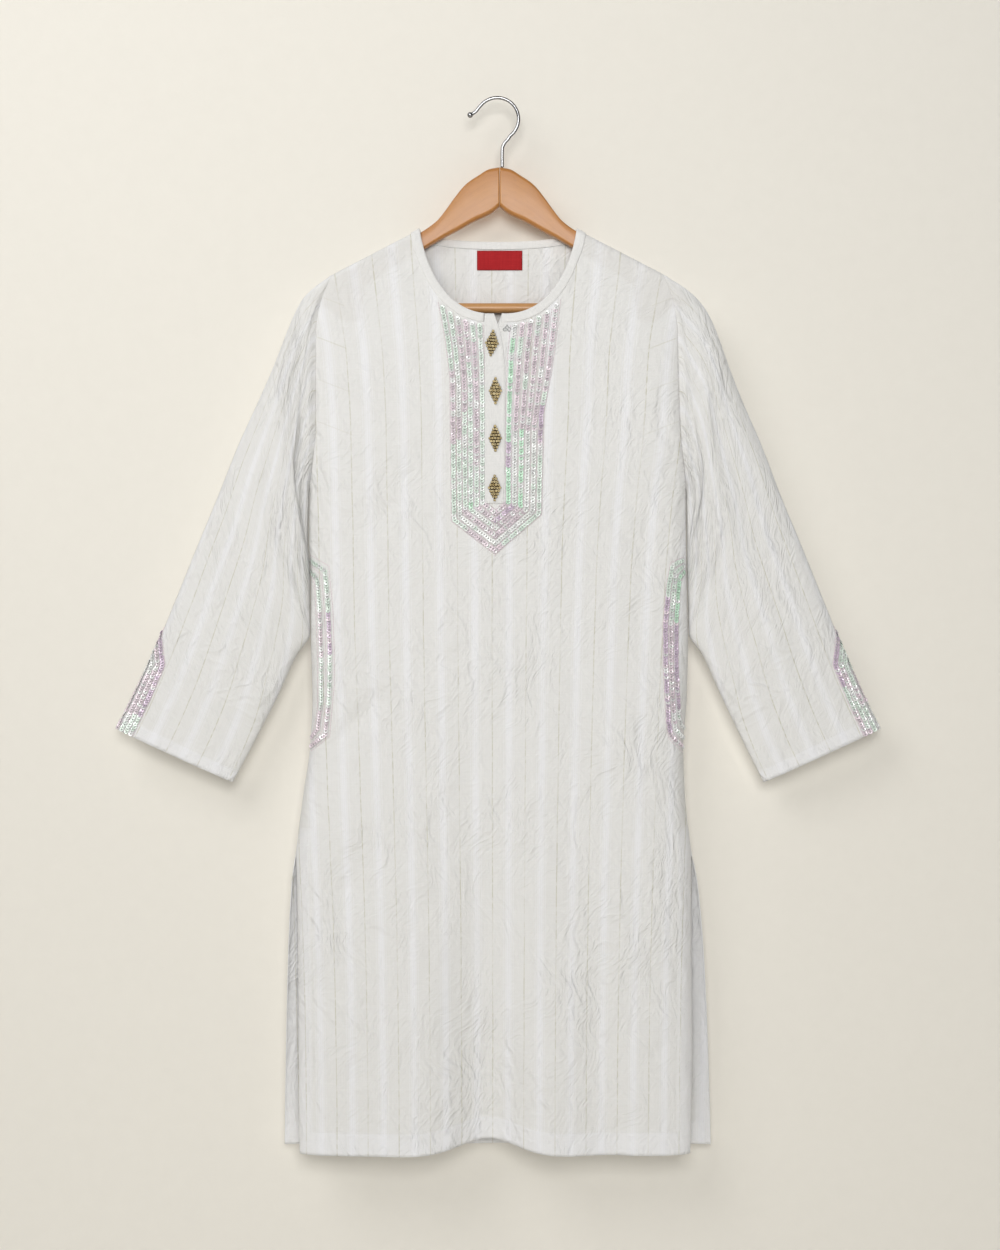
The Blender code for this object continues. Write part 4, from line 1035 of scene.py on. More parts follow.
def varnished_beech(name, wear, paler=0.0):
    """Honey-brown wood: long fine grain along each arm, mirrored about the centre joint, with short
    dark flecks and a satin varnish that is thinner in worn patches."""
    made, tree, shader = finish(name, rough=0.42, Coat_Roughness=0.22)
    place = cloth_uv(tree)
    long_grain = noise(tree, place, 1.0, 3.0, 0.5, (3.0, 70.0, 1.0))
    fine = noise(tree, place, 1.0, 3.0, 0.6, (22.0, 900.0, 1.0))
    flecks = ramp(tree, noise(tree, place, 1.0, 1.0, 0.5, (130.0, 1400.0, 1.0)), 0.60, 0.72)
    grain = ramp(tree, long_grain, 0.30, 0.70)
    colour = tint(tree, grain, (0.400, 0.160, 0.033, 1), (0.455, 0.195, 0.045, 1))
    colour = tint(tree, paler, colour, (0.590, 0.350, 0.160, 1))
    streaks = calc(tree, "MULTIPLY", ramp(tree, fine, 0.45, 0.75), 0.30)
    colour = tint(tree, streaks, colour, (0.31, 0.125, 0.032, 1))
    colour = tint(tree, calc(tree, "MULTIPLY", flecks, 0.35), colour, (0.24, 0.095, 0.025, 1))
    worn = put(tree, wear, Place=object_place(tree), Scale=30.0)
    colour = tint(tree, calc(tree, "MULTIPLY", worn["Worn"], 0.16), colour, (0.54, 0.28, 0.095, 1))
    join(tree, shader, "Base Color", colour)
    join(tree, shader, "Roughness", calc(tree, "MULTIPLY_ADD", fine, 0.18, 0.32))
    join(tree, shader, "Coat Weight", calc(tree, "MULTIPLY_ADD", worn["Worn"], -0.10, 0.20))
    bumped(tree, shader, fine, 0.05)
    return made


def plaster():
    """A plain cream wall. From behind it is clear, and it throws no shadow, so that the garment's
    back is seen and lit."""
    made, tree, shader = finish("cream wall", rough=0.95)
    place = object_place(tree)
    grain = noise(tree, place, 60.0, 5.0, 0.6)
    join(tree, shader, "Base Color", tint(tree, grain, (0.745, 0.718, 0.655, 1), (0.775, 0.748, 0.685, 1)))
    bumped(tree, shader, noise(tree, place, 420.0, 3.0, 0.6), 0.06)
    behind = node(tree, "ShaderNodeNewGeometry").outputs["Backfacing"]
    shadow = node(tree, "ShaderNodeLightPath").outputs["Is Shadow Ray"]
    clear = tree.nodes.new("ShaderNodeBsdfTransparent")
    share = calc(tree, "MAXIMUM", behind, shadow)
    mixed = node(tree, "ShaderNodeMixShader", {0: share, 1: shader.outputs[0], 2: clear.outputs[0]})
    tree.links.new(mixed.outputs[0], tree.nodes["Material Output"].inputs["Surface"])
    return made


def pale_floor():
    """A plain pale floor, a little uneven in tone."""
    made, tree, shader = finish("pale floor", rough=0.8)
    grain = noise(tree, object_place(tree), 35.0, 4.0, 0.6)
    join(tree, shader, "Base Color", tint(tree, grain, (0.72, 0.70, 0.655, 1), (0.76, 0.74, 0.695, 1)))
    bumped(tree, shader, grain, 0.1)
    return made


# ------------------------------------------------------------------ body panels
PANEL_HALF_WIDTH = 208.0
# Round the arm's outline: its underside with the bar's socket, by distance from the hanger's middle.
Outline = namedtuple("Outline", "across drop")
ARM_UNDERSIDE = [
    Outline(0, 118), Outline(45, 144), Outline(120, 186), Outline(146, 204), Outline(151, 243),
    Outline(166, 245), Outline(178, 238), Outline(186, 229), Outline(206, 226),
]
ARM_SHOWS_TO = 207.0
FacingEdge = namedtuple("FacingEdge", "drop inner")
FACING_EDGE = [
    FacingEdge(187, 176), FacingEdge(220, 168), FacingEdge(311, 163), FacingEdge(357, 159.5),
    FacingEdge(385, 160),
]
FACING_STRIPE_PITCH = 46.0
FACING_STRIPE_DROP = 272.0


def inner_edge(neckline, side, with_slit):
    """One half of a panel's inner edge, from the neck point down, as x and drop: the neckline, then
    the slit's edge, or the middle of a panel that has no slit."""
    if not with_slit:
        half, drop = neck_place(np.linspace(0, 90, 160), neckline)
        return side * np.append(half, 0.0), np.append(drop, SLIT_FOOT)
    reach = SEAM_GAP - SLIT_X if side < 0 else float(UNDER_EDGE(PLACKET_TOP))
    half, drop = neck_place(np.linspace(0, neck_angle(reach), 160), neckline)
    down = np.linspace(drop[-1], SLIT_FOOT, 60)
    slit = np.full(60, SLIT_X - SEAM_GAP) if side < 0 else UNDER_EDGE(down)
    slit[-1] = SLIT_X
    return np.concatenate([side * half[:-1], slit]), np.concatenate([drop[:-1], down])


def panel_grid(neckline, side, with_slit, panel):
    """One half of a panel as a grid of (x, drop), from the ridge down and from the side edge in. Each
    row is a straight line between the two edges: the armhole's with the neckline's and slit's, and
    below them the side's with the middle's."""
    edge_x, edge_drop = inner_edge(neckline, side, with_slit)
    run = np.concatenate([[0], np.cumsum(np.hypot(np.diff(edge_x), np.diff(edge_drop)))])
    rows = stations(run[-1], CLOTH_STEP)
    upper_outer = SHOULDER_TIP + (UNDERARM - SHOULDER_TIP) * rows / run[-1]
    count = int(round((HEM - UNDERARM) / CLOTH_STEP))
    middle_x = SLIT_X if with_slit else 0.0
    outer = np.concatenate([upper_outer, np.linspace(UNDERARM, HEM, count + 1)[1:]])
    inner = np.concatenate([np.interp(rows, run, edge_drop), np.linspace(SLIT_FOOT, HEM, count + 1)[1:]])
    inner_x = np.concatenate([np.interp(rows, run, edge_x), np.full(count, middle_x)])
    outer_x = panel.side(outer, side)
    t = stations(PANEL_HALF_WIDTH, CLOTH_STEP) / PANEL_HALF_WIDTH
    x = outer_x[:, None] * (1 - t) + inner_x[:, None] * t
    return x, outer[:, None] * (1 - t) + inner[:, None] * t


def soft_inside(value, low, high, ease):
    """1 between low and high, fading to 0 over ease outside them."""
    return smooth_step((value - low) / ease + 1) * smooth_step((high - value) / ease + 1)


def painted_arm_shade(x, drop):
    """The mask of painted shade: 1 where the hanger's arm lies right behind the cloth, easing off round its
    outline.
    """
    across = np.abs(x - HANGER_CENTRE)
    top = np.interp(across, *np.array(ARM_TOP, float).T)
    foot = np.interp(across, *np.array(ARM_UNDERSIDE, float).T)
    return soft_inside(drop, top + 3, foot, 5.0) * (across < ARM_SHOWS_TO)


def facing_shows(x, drop):
    """Where an armhole facing shows through the front, and the place along its own cloth."""
    side = np.where(x < 0, -1, 1)
    edge = np.abs(np.where(x < 0, FRONT.side(drop, -1), FRONT.side(drop, 1)))
    inner = np.interp(drop, *np.array(FACING_EDGE, float).T)
    inside = smooth_step((np.abs(x) - inner) / 2 + 0.5) * smooth_step((edge - np.abs(x)) / 3)
    inside = inside * (1 - smooth_step((drop - 378 - 0.3 * (np.abs(x) - 170)) / 6))
    along = drop + 0.40 * (side * x - 175)
    return inside, (along - FACING_STRIPE_DROP) * STRIPE_REPEAT / FACING_STRIPE_PITCH * METRES


def doubled_cloth(panel, x, drop):
    """1 where the cloth is doubled: the bottom hem, and the hems of the vents."""
    across = np.minimum(np.abs(x - panel.side(drop, -1)), np.abs(x - panel.side(drop, 1)))
    vent = smooth_step((VENT_HEM_WIDTH - across) / 2 + 0.5) * smooth_step((drop - VENT_TOP + 26) / 4)
    return np.maximum(vent, smooth_step((drop - (HEM - BODY_HEM_WIDTH)) / 2 + 0.5))


def body_panel(name, panel, neckline, with_slit, material):
    """The front or the back: its two halves as grids on the panel's surface, joined at the middle."""
    parts, places, x_all, drop_all = [], [], [], []
    for side in (-1, 1):
        x, drop = panel_grid(neckline, side, with_slit, panel)
        flip = (panel.facing > 0) != (side > 0)
        parts.append((panel.points(x, drop), grid_faces(*x.shape, flip=flip)))
        places.append(panel.cloth_place(x, drop).reshape(-1, 2))
        x_all.append(x.ravel())
        drop_all.append(drop.ravel())
    points, faces = joined(parts)
    x, drop = np.concatenate(x_all), np.concatenate(drop_all)
    shown, along = facing_shows(x, drop) if panel.facing < 0 else (0 * x, 0 * x)
    values = {
        "doubled": doubled_cloth(panel, x, drop),
        "painted_arm_shade": painted_arm_shade(x, drop),
        "facing_behind": shown,
        "facing_place": along,
    }
    mesh = surface_mesh(name, points, faces, np.concatenate(places), values)
    return piece(name, mesh, material, "striped_cotton", name, wall=WALL)


# ------------------------------------------------------------------ sleeves
SLEEVE_CRINKLES = [
    Crinkles(60, 300, 120, 240, 6, 22, 80, 46, 4.6, 0.30),
    Crinkles(-60, 300, 120, 240, 6, 22, 80, 46, 4.6, 0.30),
    Crinkles(120, 80, 90, 90, 30, 25, 24, 40, 5, 0.45),
    Crinkles(40, 520, 50, 60, 10, 30, 24, 26, 4, 0.30),
]


class Sleeve:
    """A sleeve as a grid of points round a tube, from the armhole to the cuff. Its columns run from
    the inner end along the back to the outer fold, and on along the front to the inner end."""

    COLUMNS = 61

    def __init__(self, side):
        self.side = side
        even = np.linspace(0, 1, self.COLUMNS)
        self.t = 0.55 * (0.5 - 0.5 * np.cos(math.pi * even)) + 0.45 * even
        sections = [self.armhole(SLEEVE_TUCK, 1.2), self.armhole(-SEAM_GAP, 0.0)]
        sections += [self.section(ring) for ring in SLEEVE]
        sections = self.folded(np.array(sections))
        gaps = np.linalg.norm(np.diff(sections, axis=0), axis=2).mean(axis=1)
        run = np.concatenate([[0], np.cumsum(gaps)])
        rows = np.concatenate([[0], np.linspace(run[1], run[-1], int(round(run[-1] / SLEEVE_STEP)))])
        self.grid = curve_through(run, sections)(rows)
        self.grid[..., 1] += self.creased(rows / run[-1])
        middle = self.COLUMNS - 1
        steps = np.linalg.norm(np.diff(self.grid, axis=1), axis=2)
        around = np.concatenate([np.zeros((len(rows), 1)), np.cumsum(steps, axis=1)], axis=1)
        self.across = around - around[:, middle : middle + 1]
        fold = np.linalg.norm(np.diff(self.grid[:, middle], axis=0), axis=1)
        self.from_cuff = np.concatenate([np.cumsum(fold[::-1])[::-1], [0]])

    def loop(self, x, drop, front, back):
        """A section: the inner end, the back, the outer fold, the front, the inner end."""
        over_front = np.stack([x, -front, -drop], axis=-1)
        over_back = np.stack([x, back, -drop], axis=-1)
        return np.concatenate([over_back[::-1], over_front[1:]])

    def armhole(self, tuck, under):
        """The armhole's line on the two panels, moved in by tuck and under them."""
        drop = SHOULDER_TIP + (UNDERARM - SHOULDER_TIP) * self.t
        x = FRONT.side(drop, self.side)
        front = np.maximum(FRONT.depth(x, drop) - under, 0)
        back = np.maximum(BACK.depth(x, drop) - under, 0)
        return self.loop(x - self.side * tuck, drop, front, back)

    def section(self, ring):
        """A superellipse squashed between its outer and inner ends, kept clear of the body's side."""
        side, t = self.side, self.t
        inner_x = side * (ring.inner_x + (ring.right_out if side > 0 else 0))
        if ring.inner_x == AGAINST_BODY:
            inner_x = FRONT.side(ring.inner, side) + side * SLEEVE_CLEAR
        outer_x = side * (ring.outer_x + (ring.right_out if side > 0 else 0))
        drop = ring.outer + (ring.inner - ring.outer) * t
        clear = np.abs(FRONT.side(drop, side)) + SLEEVE_CLEAR + ring.clears * 4 * t * (1 - t)
        x = side * np.maximum(np.abs(outer_x + (inner_x - outer_x) * t), clear)
        swell = (1 - np.abs(2 * t - 1) ** ring.power) ** (1 / ring.power)
        return self.loop(x, drop, ring.front * swell, ring.back * swell)

    def folded(self, sections):
        """Soft lengthwise folds, each a bell across the sleeve and half a sine wave along it."""
        place = np.concatenate([self.t[::-1], self.t[1:]])
        facing = np.where(np.arange(len(place)) < self.COLUMNS - 1, 1, -1)
        for fold in SLEEVE_FOLDS:
            ring = np.arange(len(sections)) - 1
            along = np.sin(math.pi * np.clip((ring - fold.first) / (fold.last - fold.first), 0, 1))
            across = np.exp(-(((place - fold.place) / fold.width) ** 2))
            sections[..., 1] += facing * fold.height * along[:, None] * across
        return sections

    def creased(self, share):
        """Fine crinkles of both faces, and small puckers at the cuff's stitching."""
        place = np.concatenate([-self.t[::-1], self.t[1:]])
        facing = np.where(place <= 0, 1, -1)
        width = np.interp(share, [0, 1], [235, 85])[:, None]
        x, drop = place[None] * width, share[:, None] * 560
        height = crease_height(scattered(SLEEVE_CRINKLES, 21 if self.side < 0 else 22), x, drop)
        ends = smooth_step(np.abs(place) / 0.05) * smooth_step((1 - np.abs(place)) / 0.05)
        from_cuff = (1 - share[:, None]) * 560
        stitched = HEM_PUCKER * uneven_wave(x, 15.0) * np.exp(-(((from_cuff - CUFF_HEM_WIDTH) / 9) ** 2))
        return facing * (height * smooth_step(share[:, None] / 0.05) + stitched) * ends

    def on(self, across, from_cuff, lift=0.0):
        """Points at a distance from the outer fold (positive on the front) and from the cuff, moved
        out by lift: the grid read between its points."""
        row = np.interp(-from_cuff, -self.from_cuff, np.arange(len(self.from_cuff)))
        low = np.clip(row.astype(int), 0, len(self.from_cuff) - 2)
        part = (row - low)[:, None]
        line = self.across[low] * (1 - part) + self.across[low + 1] * part
        col = np.clip((line < across[:, None]).sum(axis=1) - 1, 0, line.shape[1] - 2)
        here = np.take_along_axis(line, col[:, None], 1)[:, 0]
        after = np.take_along_axis(line, col[:, None] + 1, 1)[:, 0]
        share = ((across - here) / (after - here))[:, None]
        upper = self.grid[low, col] * (1 - share) + self.grid[low, col + 1] * share
        lower = self.grid[low + 1, col] * (1 - share) + self.grid[low + 1, col + 1] * share
        down = self.grid[low + 1, col] - self.grid[low, col]
        round_it = self.grid[low, col + 1] - self.grid[low, col]
        outward = np.cross(round_it, down) * self.side
        outward = outward / np.linalg.norm(outward, axis=1, keepdims=True)
        return upper * (1 - part) + lower * part + outward * np.reshape(lift, (-1, 1))

    def made(self, name, material):
        rows, columns = self.across.shape
        faces = grid_faces(rows, columns, flip=self.side > 0)
        down = np.broadcast_to(self.from_cuff[:, None], self.across.shape)
        places = np.stack([self.across + 12.0, down], axis=-1) * METRES
        x, drop = self.grid[..., 0], -self.grid[..., 2]
        values = {
            "doubled": smooth_step((CUFF_HEM_WIDTH - down) / 2 + 0.5),
            "painted_arm_shade": painted_arm_shade(x, drop) * (self.grid[..., 1] < 0),
            "facing_behind": np.zeros_like(x),
            "facing_place": np.zeros_like(x),
        }
        mesh = surface_mesh(name, self.grid, faces, places, values)
        return piece(name, mesh, material, "striped_cotton", name, wall=WALL)


# ------------------------------------------------------------------ pieces laid on the panels
def crowned(across, rise):
    """The extra lift of a strip's middle over its two edges: half a sine wave to a small power."""
    return rise * np.sin(math.pi * across) ** 0.6


# The binding's section: distance across from the neckline, and height over the cloth's outer face.
BAND_SECTION = [
    (8.9, -0.15), (8.85, 0.15), (8.6, 0.42), (8.1, 0.58), (7.0, 0.68), (5.2, 0.74), (3.2, 0.76), (1.4, 0.72),
    (0.3, 0.60), (-0.25, 0.30), (-0.45, -0.1), (-0.45, -0.6), (-0.2, -1.0), (0.5, -1.22), (2.5, -1.28),
    (5.0, -1.28), (7.0, -1.24), (7.8, -1.1),
]


def band_rows(panel, degrees, neckline, side):
    """Rows of the binding, one for each angle round the neckline. They lie square to it, and lower
    by the shoulder's slope where they run out over the shoulder. Its section turns under at the sewn
    edge, rises over the front of the cloth, goes round the neckline and down behind it."""
    half, drop = neck_place(degrees, neckline)
    ahead, behind = neck_place(degrees + 0.5, neckline), neck_place(degrees - 0.5, neckline)
    out_x, out_drop = ahead[1] - behind[1], behind[0] - ahead[0]
    length = np.hypot(out_x, out_drop)
    across, lift = np.array(BAND_SECTION).T
    x = half[:, None] + across * (out_x / length)[:, None]
    drop = drop[:, None] + across * (out_drop / length)[:, None]
    drop = drop + SHOULDER_SLOPE * np.maximum(x - NECK_HALF, 0)
    rise = SEAM_RISE * np.exp(-((degrees / SEAM_RISE_SPAN) ** 2))[:, None]
    return panel.points(side * x, drop, lift + rise * (lift > 0))


def neck_band(material):
    """The binding, carried along the neckline from the placket round the back to the slit."""
    rear = 90 * np.linspace(0, 1, 60) ** 1.4
    halves = []
    for side, reach in ((-1, SEAM_GAP - PLACKET_LEFT), (1, float(UNDER_EDGE(PLACKET_TOP)))):
        front = neck_angle(reach) * np.linspace(0, 1, 70) ** 1.25
        over_front = band_rows(FRONT, front, FRONT_NECKLINE, side)
        over_back = band_rows(BACK, rear, BACK_NECKLINE, side)
        ridge_row = (over_front[:1] + over_back[:1]) / 2
        halves.append(np.concatenate([over_front[:0:-1], ridge_row, over_back[1:]]))
    points = np.concatenate([halves[0], halves[1][-2::-1]])
    run = np.concatenate([[0], np.cumsum(np.linalg.norm(np.diff(points[:, 4], axis=0), axis=1))])
    across = np.array(BAND_SECTION)[:, 0]
    places = np.stack(np.broadcast_arrays(across[None] + 20.0, run[:, None]), axis=-1) * METRES
    mesh = surface_mesh("neck_band", points, grid_faces(*points.shape[:2]), places)
    return piece("neck_band", mesh, material, "plain_cotton", "neck_band", wall=0.35)


PLACKET_WALL = 0.55
PLACKET_LIFT = SEAM_GAP + PLACKET_WALL  # of its outer face over the front's


def placket(material):
    """A folded strip over the slit, a little fuller along its middle than at its edges."""
    down = np.linspace(PLACKET_TOP, PLACKET_FOOT - 1.2, 70)
    drop = np.concatenate([down, [PLACKET_FOOT - 0.4, PLACKET_FOOT]])
    across = np.array([0.0, 0.02, 0.07, 0.16, 0.3, 0.5, 0.7, 0.84, 0.93, 0.98, 1.0])
    right = PLACKET_EDGE(drop)
    x = PLACKET_LEFT + (right - PLACKET_LEFT)[:, None] * across
    drop = np.broadcast_to(drop[:, None], x.shape)
    waves = 0.16 * uneven_wave(drop, 19.0) * np.sin(math.pi * across)
    lift = PLACKET_LIFT + crowned(across, 0.22) + waves
    points = FRONT.points(x, drop, lift)
    places = np.stack([x + 40, drop], axis=-1) * METRES
    mesh = surface_mesh("placket_strip", points, grid_faces(*x.shape), places)
    return piece("placket_strip", mesh, material, "plain_cotton", "placket_strip", wall=PLACKET_WALL)


def armhole_facing(name, side, material):
    """A curved strip under the front beside the armhole, cut crosswise."""
    drop = np.linspace(FACING_TOP, FACING_FOOT, 44)
    share = np.linspace(FACING_FROM, FACING_TO, 9)
    x = FRONT.side(drop, side)[:, None] * (1 - share)
    drop = np.broadcast_to(drop[:, None], x.shape)
    points = FRONT.points(x, drop, -(WALL + SEAM_GAP))
    values = {"doubled": 0 * x, "painted_arm_shade": 0 * x, "facing_behind": 0 * x, "facing_place": 0 * x}
    places = np.stack([drop - 234.0, x], axis=-1) * METRES
    mesh = surface_mesh(name, points, grid_faces(*x.shape, flip=side > 0), places, values)
    return piece(name, mesh, material, "striped_cotton", name, wall=FACING_WALL)


def label_point(x, drop):
    """Inside the back, its free middle bowed a little away from the cloth."""
    across = (x - LABEL_CENTRE[0]) / LABEL_HALF_WIDTH
    down = (drop - LABEL_CENTRE[1]) / LABEL_HALF_HEIGHT
    bow = 0.8 * (1 - across**2) * (1 - down**2)
    return BACK.points(x, drop, -(WALL + SEAM_GAP + 0.2) - FACING_WALL - bow)


def label(material):
    """The woven label: an even grid on its bowed surface, darker along its edges."""
    x = LABEL_CENTRE[0] + np.linspace(-LABEL_HALF_WIDTH, LABEL_HALF_WIDTH, 41)
    drop = LABEL_CENTRE[1] + np.linspace(-LABEL_HALF_HEIGHT, LABEL_HALF_HEIGHT, 19)
    x, drop = np.meshgrid(x, drop)
    from_side = LABEL_HALF_WIDTH - np.abs(x - LABEL_CENTRE[0])
    from_end = LABEL_HALF_HEIGHT - np.abs(drop - LABEL_CENTRE[1])
    near = np.minimum(from_side, from_end)
    values = {"edge": 1 - smooth_step(near / 1.6)}
    places = np.stack([x, drop], axis=-1) * METRES
    mesh = surface_mesh("label", label_point(x, drop), grid_faces(*x.shape), places, values)
    return piece("label", mesh, material, "woven_label", "label", wall=FACING_WALL)


# ------------------------------------------------------------------ sewn and beaded work
def walk(path, pitch):
    """Places along a path of (x, drop), about pitch apart, and the path's direction at each."""
    run = np.linalg.norm(np.diff(np.array(path, float), axis=0), axis=1).sum()
    places = even_path(np.array(path, float), max(2, int(round(run / pitch)) + 1))
    way = np.gradient(places, axis=0)
    return places, way / np.linalg.norm(way, axis=1, keepdims=True)


def on_surface(surface, places, way, lift):
    """Points on a surface with unit vectors along the way, outward and across."""
    reach = 0.6
    centre = surface(places[:, 0], places[:, 1], lift)
    ahead = surface(places[:, 0] + way[:, 0] * reach, places[:, 1] + way[:, 1] * reach, lift)
    behind = surface(places[:, 0] - way[:, 0] * reach, places[:, 1] - way[:, 1] * reach, lift)
    outer = surface(places[:, 0], places[:, 1], lift + 1.0)
    along, outward, across = across_frame(ahead - behind, outer - centre)
    return centre, along, outward, across


def leaning(along, outward, across, pitch_angle, roll_angle):
    """The frames turned about their across axis by one angle and about their own length by another."""
    cos, sin = np.cos(pitch_angle)[:, None], np.sin(pitch_angle)[:, None]
    along, outward = along * cos + outward * sin, outward * cos - along * sin
    cos, sin = np.cos(roll_angle)[:, None], np.sin(roll_angle)[:, None]
    return along, outward * cos + across * sin, across * cos - outward * sin


SEQUIN_PITCH = 3.05
# A cup with a hole: radius and height of each ring, and how bright it is against the sequin's tone,
# as painted shade in the hole and under the cup and a slight painted highlight towards the rim.
CupRing = namedtuple("CupRing", "radius height shade")
SEQUIN = [
    CupRing(0.62, 0.02, 0.34),
    CupRing(1.10, 0.06, 0.92),
    CupRing(2.25, 0.50, 1.02),
    CupRing(2.65, 0.60, 1.05),
    CupRing(2.40, 0.32, 0.58),
    CupRing(0.85, -0.12, 0.45),
]
SEQUIN_SIDES = 8
SEQUIN_LIFT = 0.75
SEQUIN_LEAN = 15  # degrees that a sequin tips up onto the next one
LEAN_SPREAD = 5
ROLL_SPREAD = 6
ROW_SPREAD = 0.22  # how far a sequin strays from its row's line
STRAY_SHARE = 0.13
WHITE_SHARE = 0.10
WHITE = 0.90
DIMMEST = 0.78
BRIGHTEST = 1.12
MOST_TINT = 0.97
CHAIN_LENGTH = 2.5
CHAIN_SPACE = 0.25
CHAIN_RADIUS = 0.38
CHAIN_LIFT = 0.15
TONES = {
    "mint": (0.84, 0.97, 0.86),
    "green": (0.64, 0.95, 0.71),
    "pale": (0.92, 0.94, 0.91),
    "pink": (0.83, 0.71, 0.77),
    "purple": (0.68, 0.54, 0.68),
}
STRAY = {"mint": "pale", "green": "mint", "pale": "mint", "pink": "pale", "purple": "pink"}

# A strip of sequin rows lies between its inner and outer row. The tones of each row run down to the
# drops they are given with.
Strip = namedtuple("Strip", "inner outer tones")
LAST = 9999
YOKE_LEFT = Strip(
    [(-20.5, 240), (-18.4, 285), (-17.4, 330), (-17.2, 400), (-17.2, 445), (-2.8, 456)],
    [(-63, 218), (-54, 270), (-49.5, 310), (-49, 384), (-47.9, 463), (-3.3, 497)],
    [
        [(445, "mint"), (LAST, "pink")],
        [(268, "mint"), (402, "pink"), (448, "mint"), (LAST, "pink")],
        [(291, "pink"), (440, "mint"), (452, "green"), (LAST, "pale")],
        [(250, "pale"), (346, "pink"), (452, "mint"), (LAST, "pink")],
        [(295, "mint"), (350, "pale"), (374, "pink"), (456, "mint"), (LAST, "pale")],
        [(299, "mint"), (381, "pink"), (474, "mint"), (LAST, "pink")],
    ],
)
YOKE_RIGHT = Strip(
    [(18.4, 244), (14.4, 285), (12.4, 330), (11.2, 384), (11.0, 444), (-2.8, 456)],
    [(65, 212), (58.5, 270), (54, 305), (46.5, 350), (44.2, 456), (-3.3, 497)],
    [
        [(266, "pale"), (379, "green"), (405, "purple"), (444, "green"), (LAST, "pink")],
        [(262, "pink"), (284, "mint"), (366, "pink"), (447, "pale"), (LAST, "purple")],
        [(306, "pink"), (322, "mint"), (364, "pink"), (450, "green"), (LAST, "pink")],
        [(240, "pink"), (262, "mint"), (366, "pink"), (452, "pale"), (LAST, "pink")],
        [(366, "pink"), (LAST, "pale")],
        [(324, "pink"), (339, "mint"), (384, "purple"), (489, "mint"), (LAST, "pink")],
    ],
)
SIDE_LEFT = Strip(
    [(-204.6, 519), (-196.6, 528), (-194.2, 561), (-192.2, 616), (-192.2, 660), (-196, 691), (-203, 700)],
    [(-205.0, 507), (-188.5, 518), (-184.6, 561), (-183, 605), (-182.8, 649), (-187.5, 696), (-203.5, 710)],
    [
        [(563, "mint"), (613, "pink"), (664, "mint"), (LAST, "pink")],
        [(565, "mint"), (608, "purple"), (668, "mint"), (LAST, "pink")],
    ],
)
SIDE_RIGHT = Strip(
    [
        (202.5, 520), (197.2, 527), (195.5, 548), (193.6, 576),
        (193.6, 623), (196.4, 677), (198.6, 686), (202.5, 690),
    ],
    [
        (201.3, 507), (189.5, 513), (185.3, 538), (182, 576),
        (182, 623), (185.3, 684), (188, 698), (201.5, 711),
    ],
    [
        [(576, "green"), (668, "purple"), (LAST, "pale")],
        [(572, "mint"), (684, "pink"), (LAST, "pale")],
        [(548, "mint"), (694, "purple"), (LAST, "pink")],
    ],
)
CUFF_LEFT = Strip(
    [(0.6, -84), (2.8, -80), (2.8, -2.2)],
    [(0.6, -117), (20.2, -88), (20.2, -2.2)],
    [
        [(-64, "pale"), (-20, "pink"), (LAST, "pink")],
        [(-72, "pale"), (-22, "pink"), (LAST, "mint")],
        [(-24, "pink"), (LAST, "mint")],
        [(-24, "purple"), (LAST, "mint")],
    ],
)
CUFF_RIGHT = Strip(
    [(0.6, -84), (2.8, -80), (2.8, -2.2)],
    [(0.6, -117), (20.2, -88), (20.2, -2.2)],
    [
        [(-70, "mint"), (-30, "pink"), (LAST, "pale")],
        [(-56, "mint"), (-34, "pink"), (LAST, "mint")],
        [(-82, "mint"), (-46, "pink"), (-8, "mint"), (LAST, "pink")],
        [(-60, "purple"), (-34, "mint"), (LAST, "pink")],
    ],
)

YOKE_START = 4.2  # from the binding's sewn edge to the middle of a row's first sequin


def row_path(strip, share):
    """A row as a share of the way from the strip's inner row to its outer one."""
    inner, outer = np.array(strip.inner, float), np.array(strip.outer, float)
    return inner * (1 - share) + outer * share


def below_neck(path):
    """The part of a yoke row that lies below the neck binding."""
    half, drop = neck_place(np.linspace(0, 90, 181), FRONT_NECKLINE)
    fine = even_path(path, 400)
    away = np.hypot(np.abs(fine[:, 0])[:, None] - half, fine[:, 1][:, None] - drop).min(axis=1)
    return fine[np.argmax((away > BAND_WIDTH + YOKE_START) & (fine[:, 1] > NECK_TOP + 60)) :]


def tones_along(row, drops, draw):
    """Each sequin's colour: its patch's tone, with a few strays and an uneven brightness."""
    ends = np.array([end for end, _ in row])
    names = [name for _, name in row]
    which = np.searchsorted(ends, drops)
    own = np.array([TONES[names[i]] for i in which])
    stray = np.array([TONES[STRAY[names[i]]] for i in which])
    swap = (draw.random(len(drops)) < STRAY_SHARE)[:, None]
    mixed = np.where(swap, stray, own)
    white = (draw.random(len(drops)) < WHITE_SHARE)[:, None]
    mixed = np.where(white, WHITE, mixed)
    return mixed * draw.uniform(DIMMEST, BRIGHTEST, (len(drops), 1))


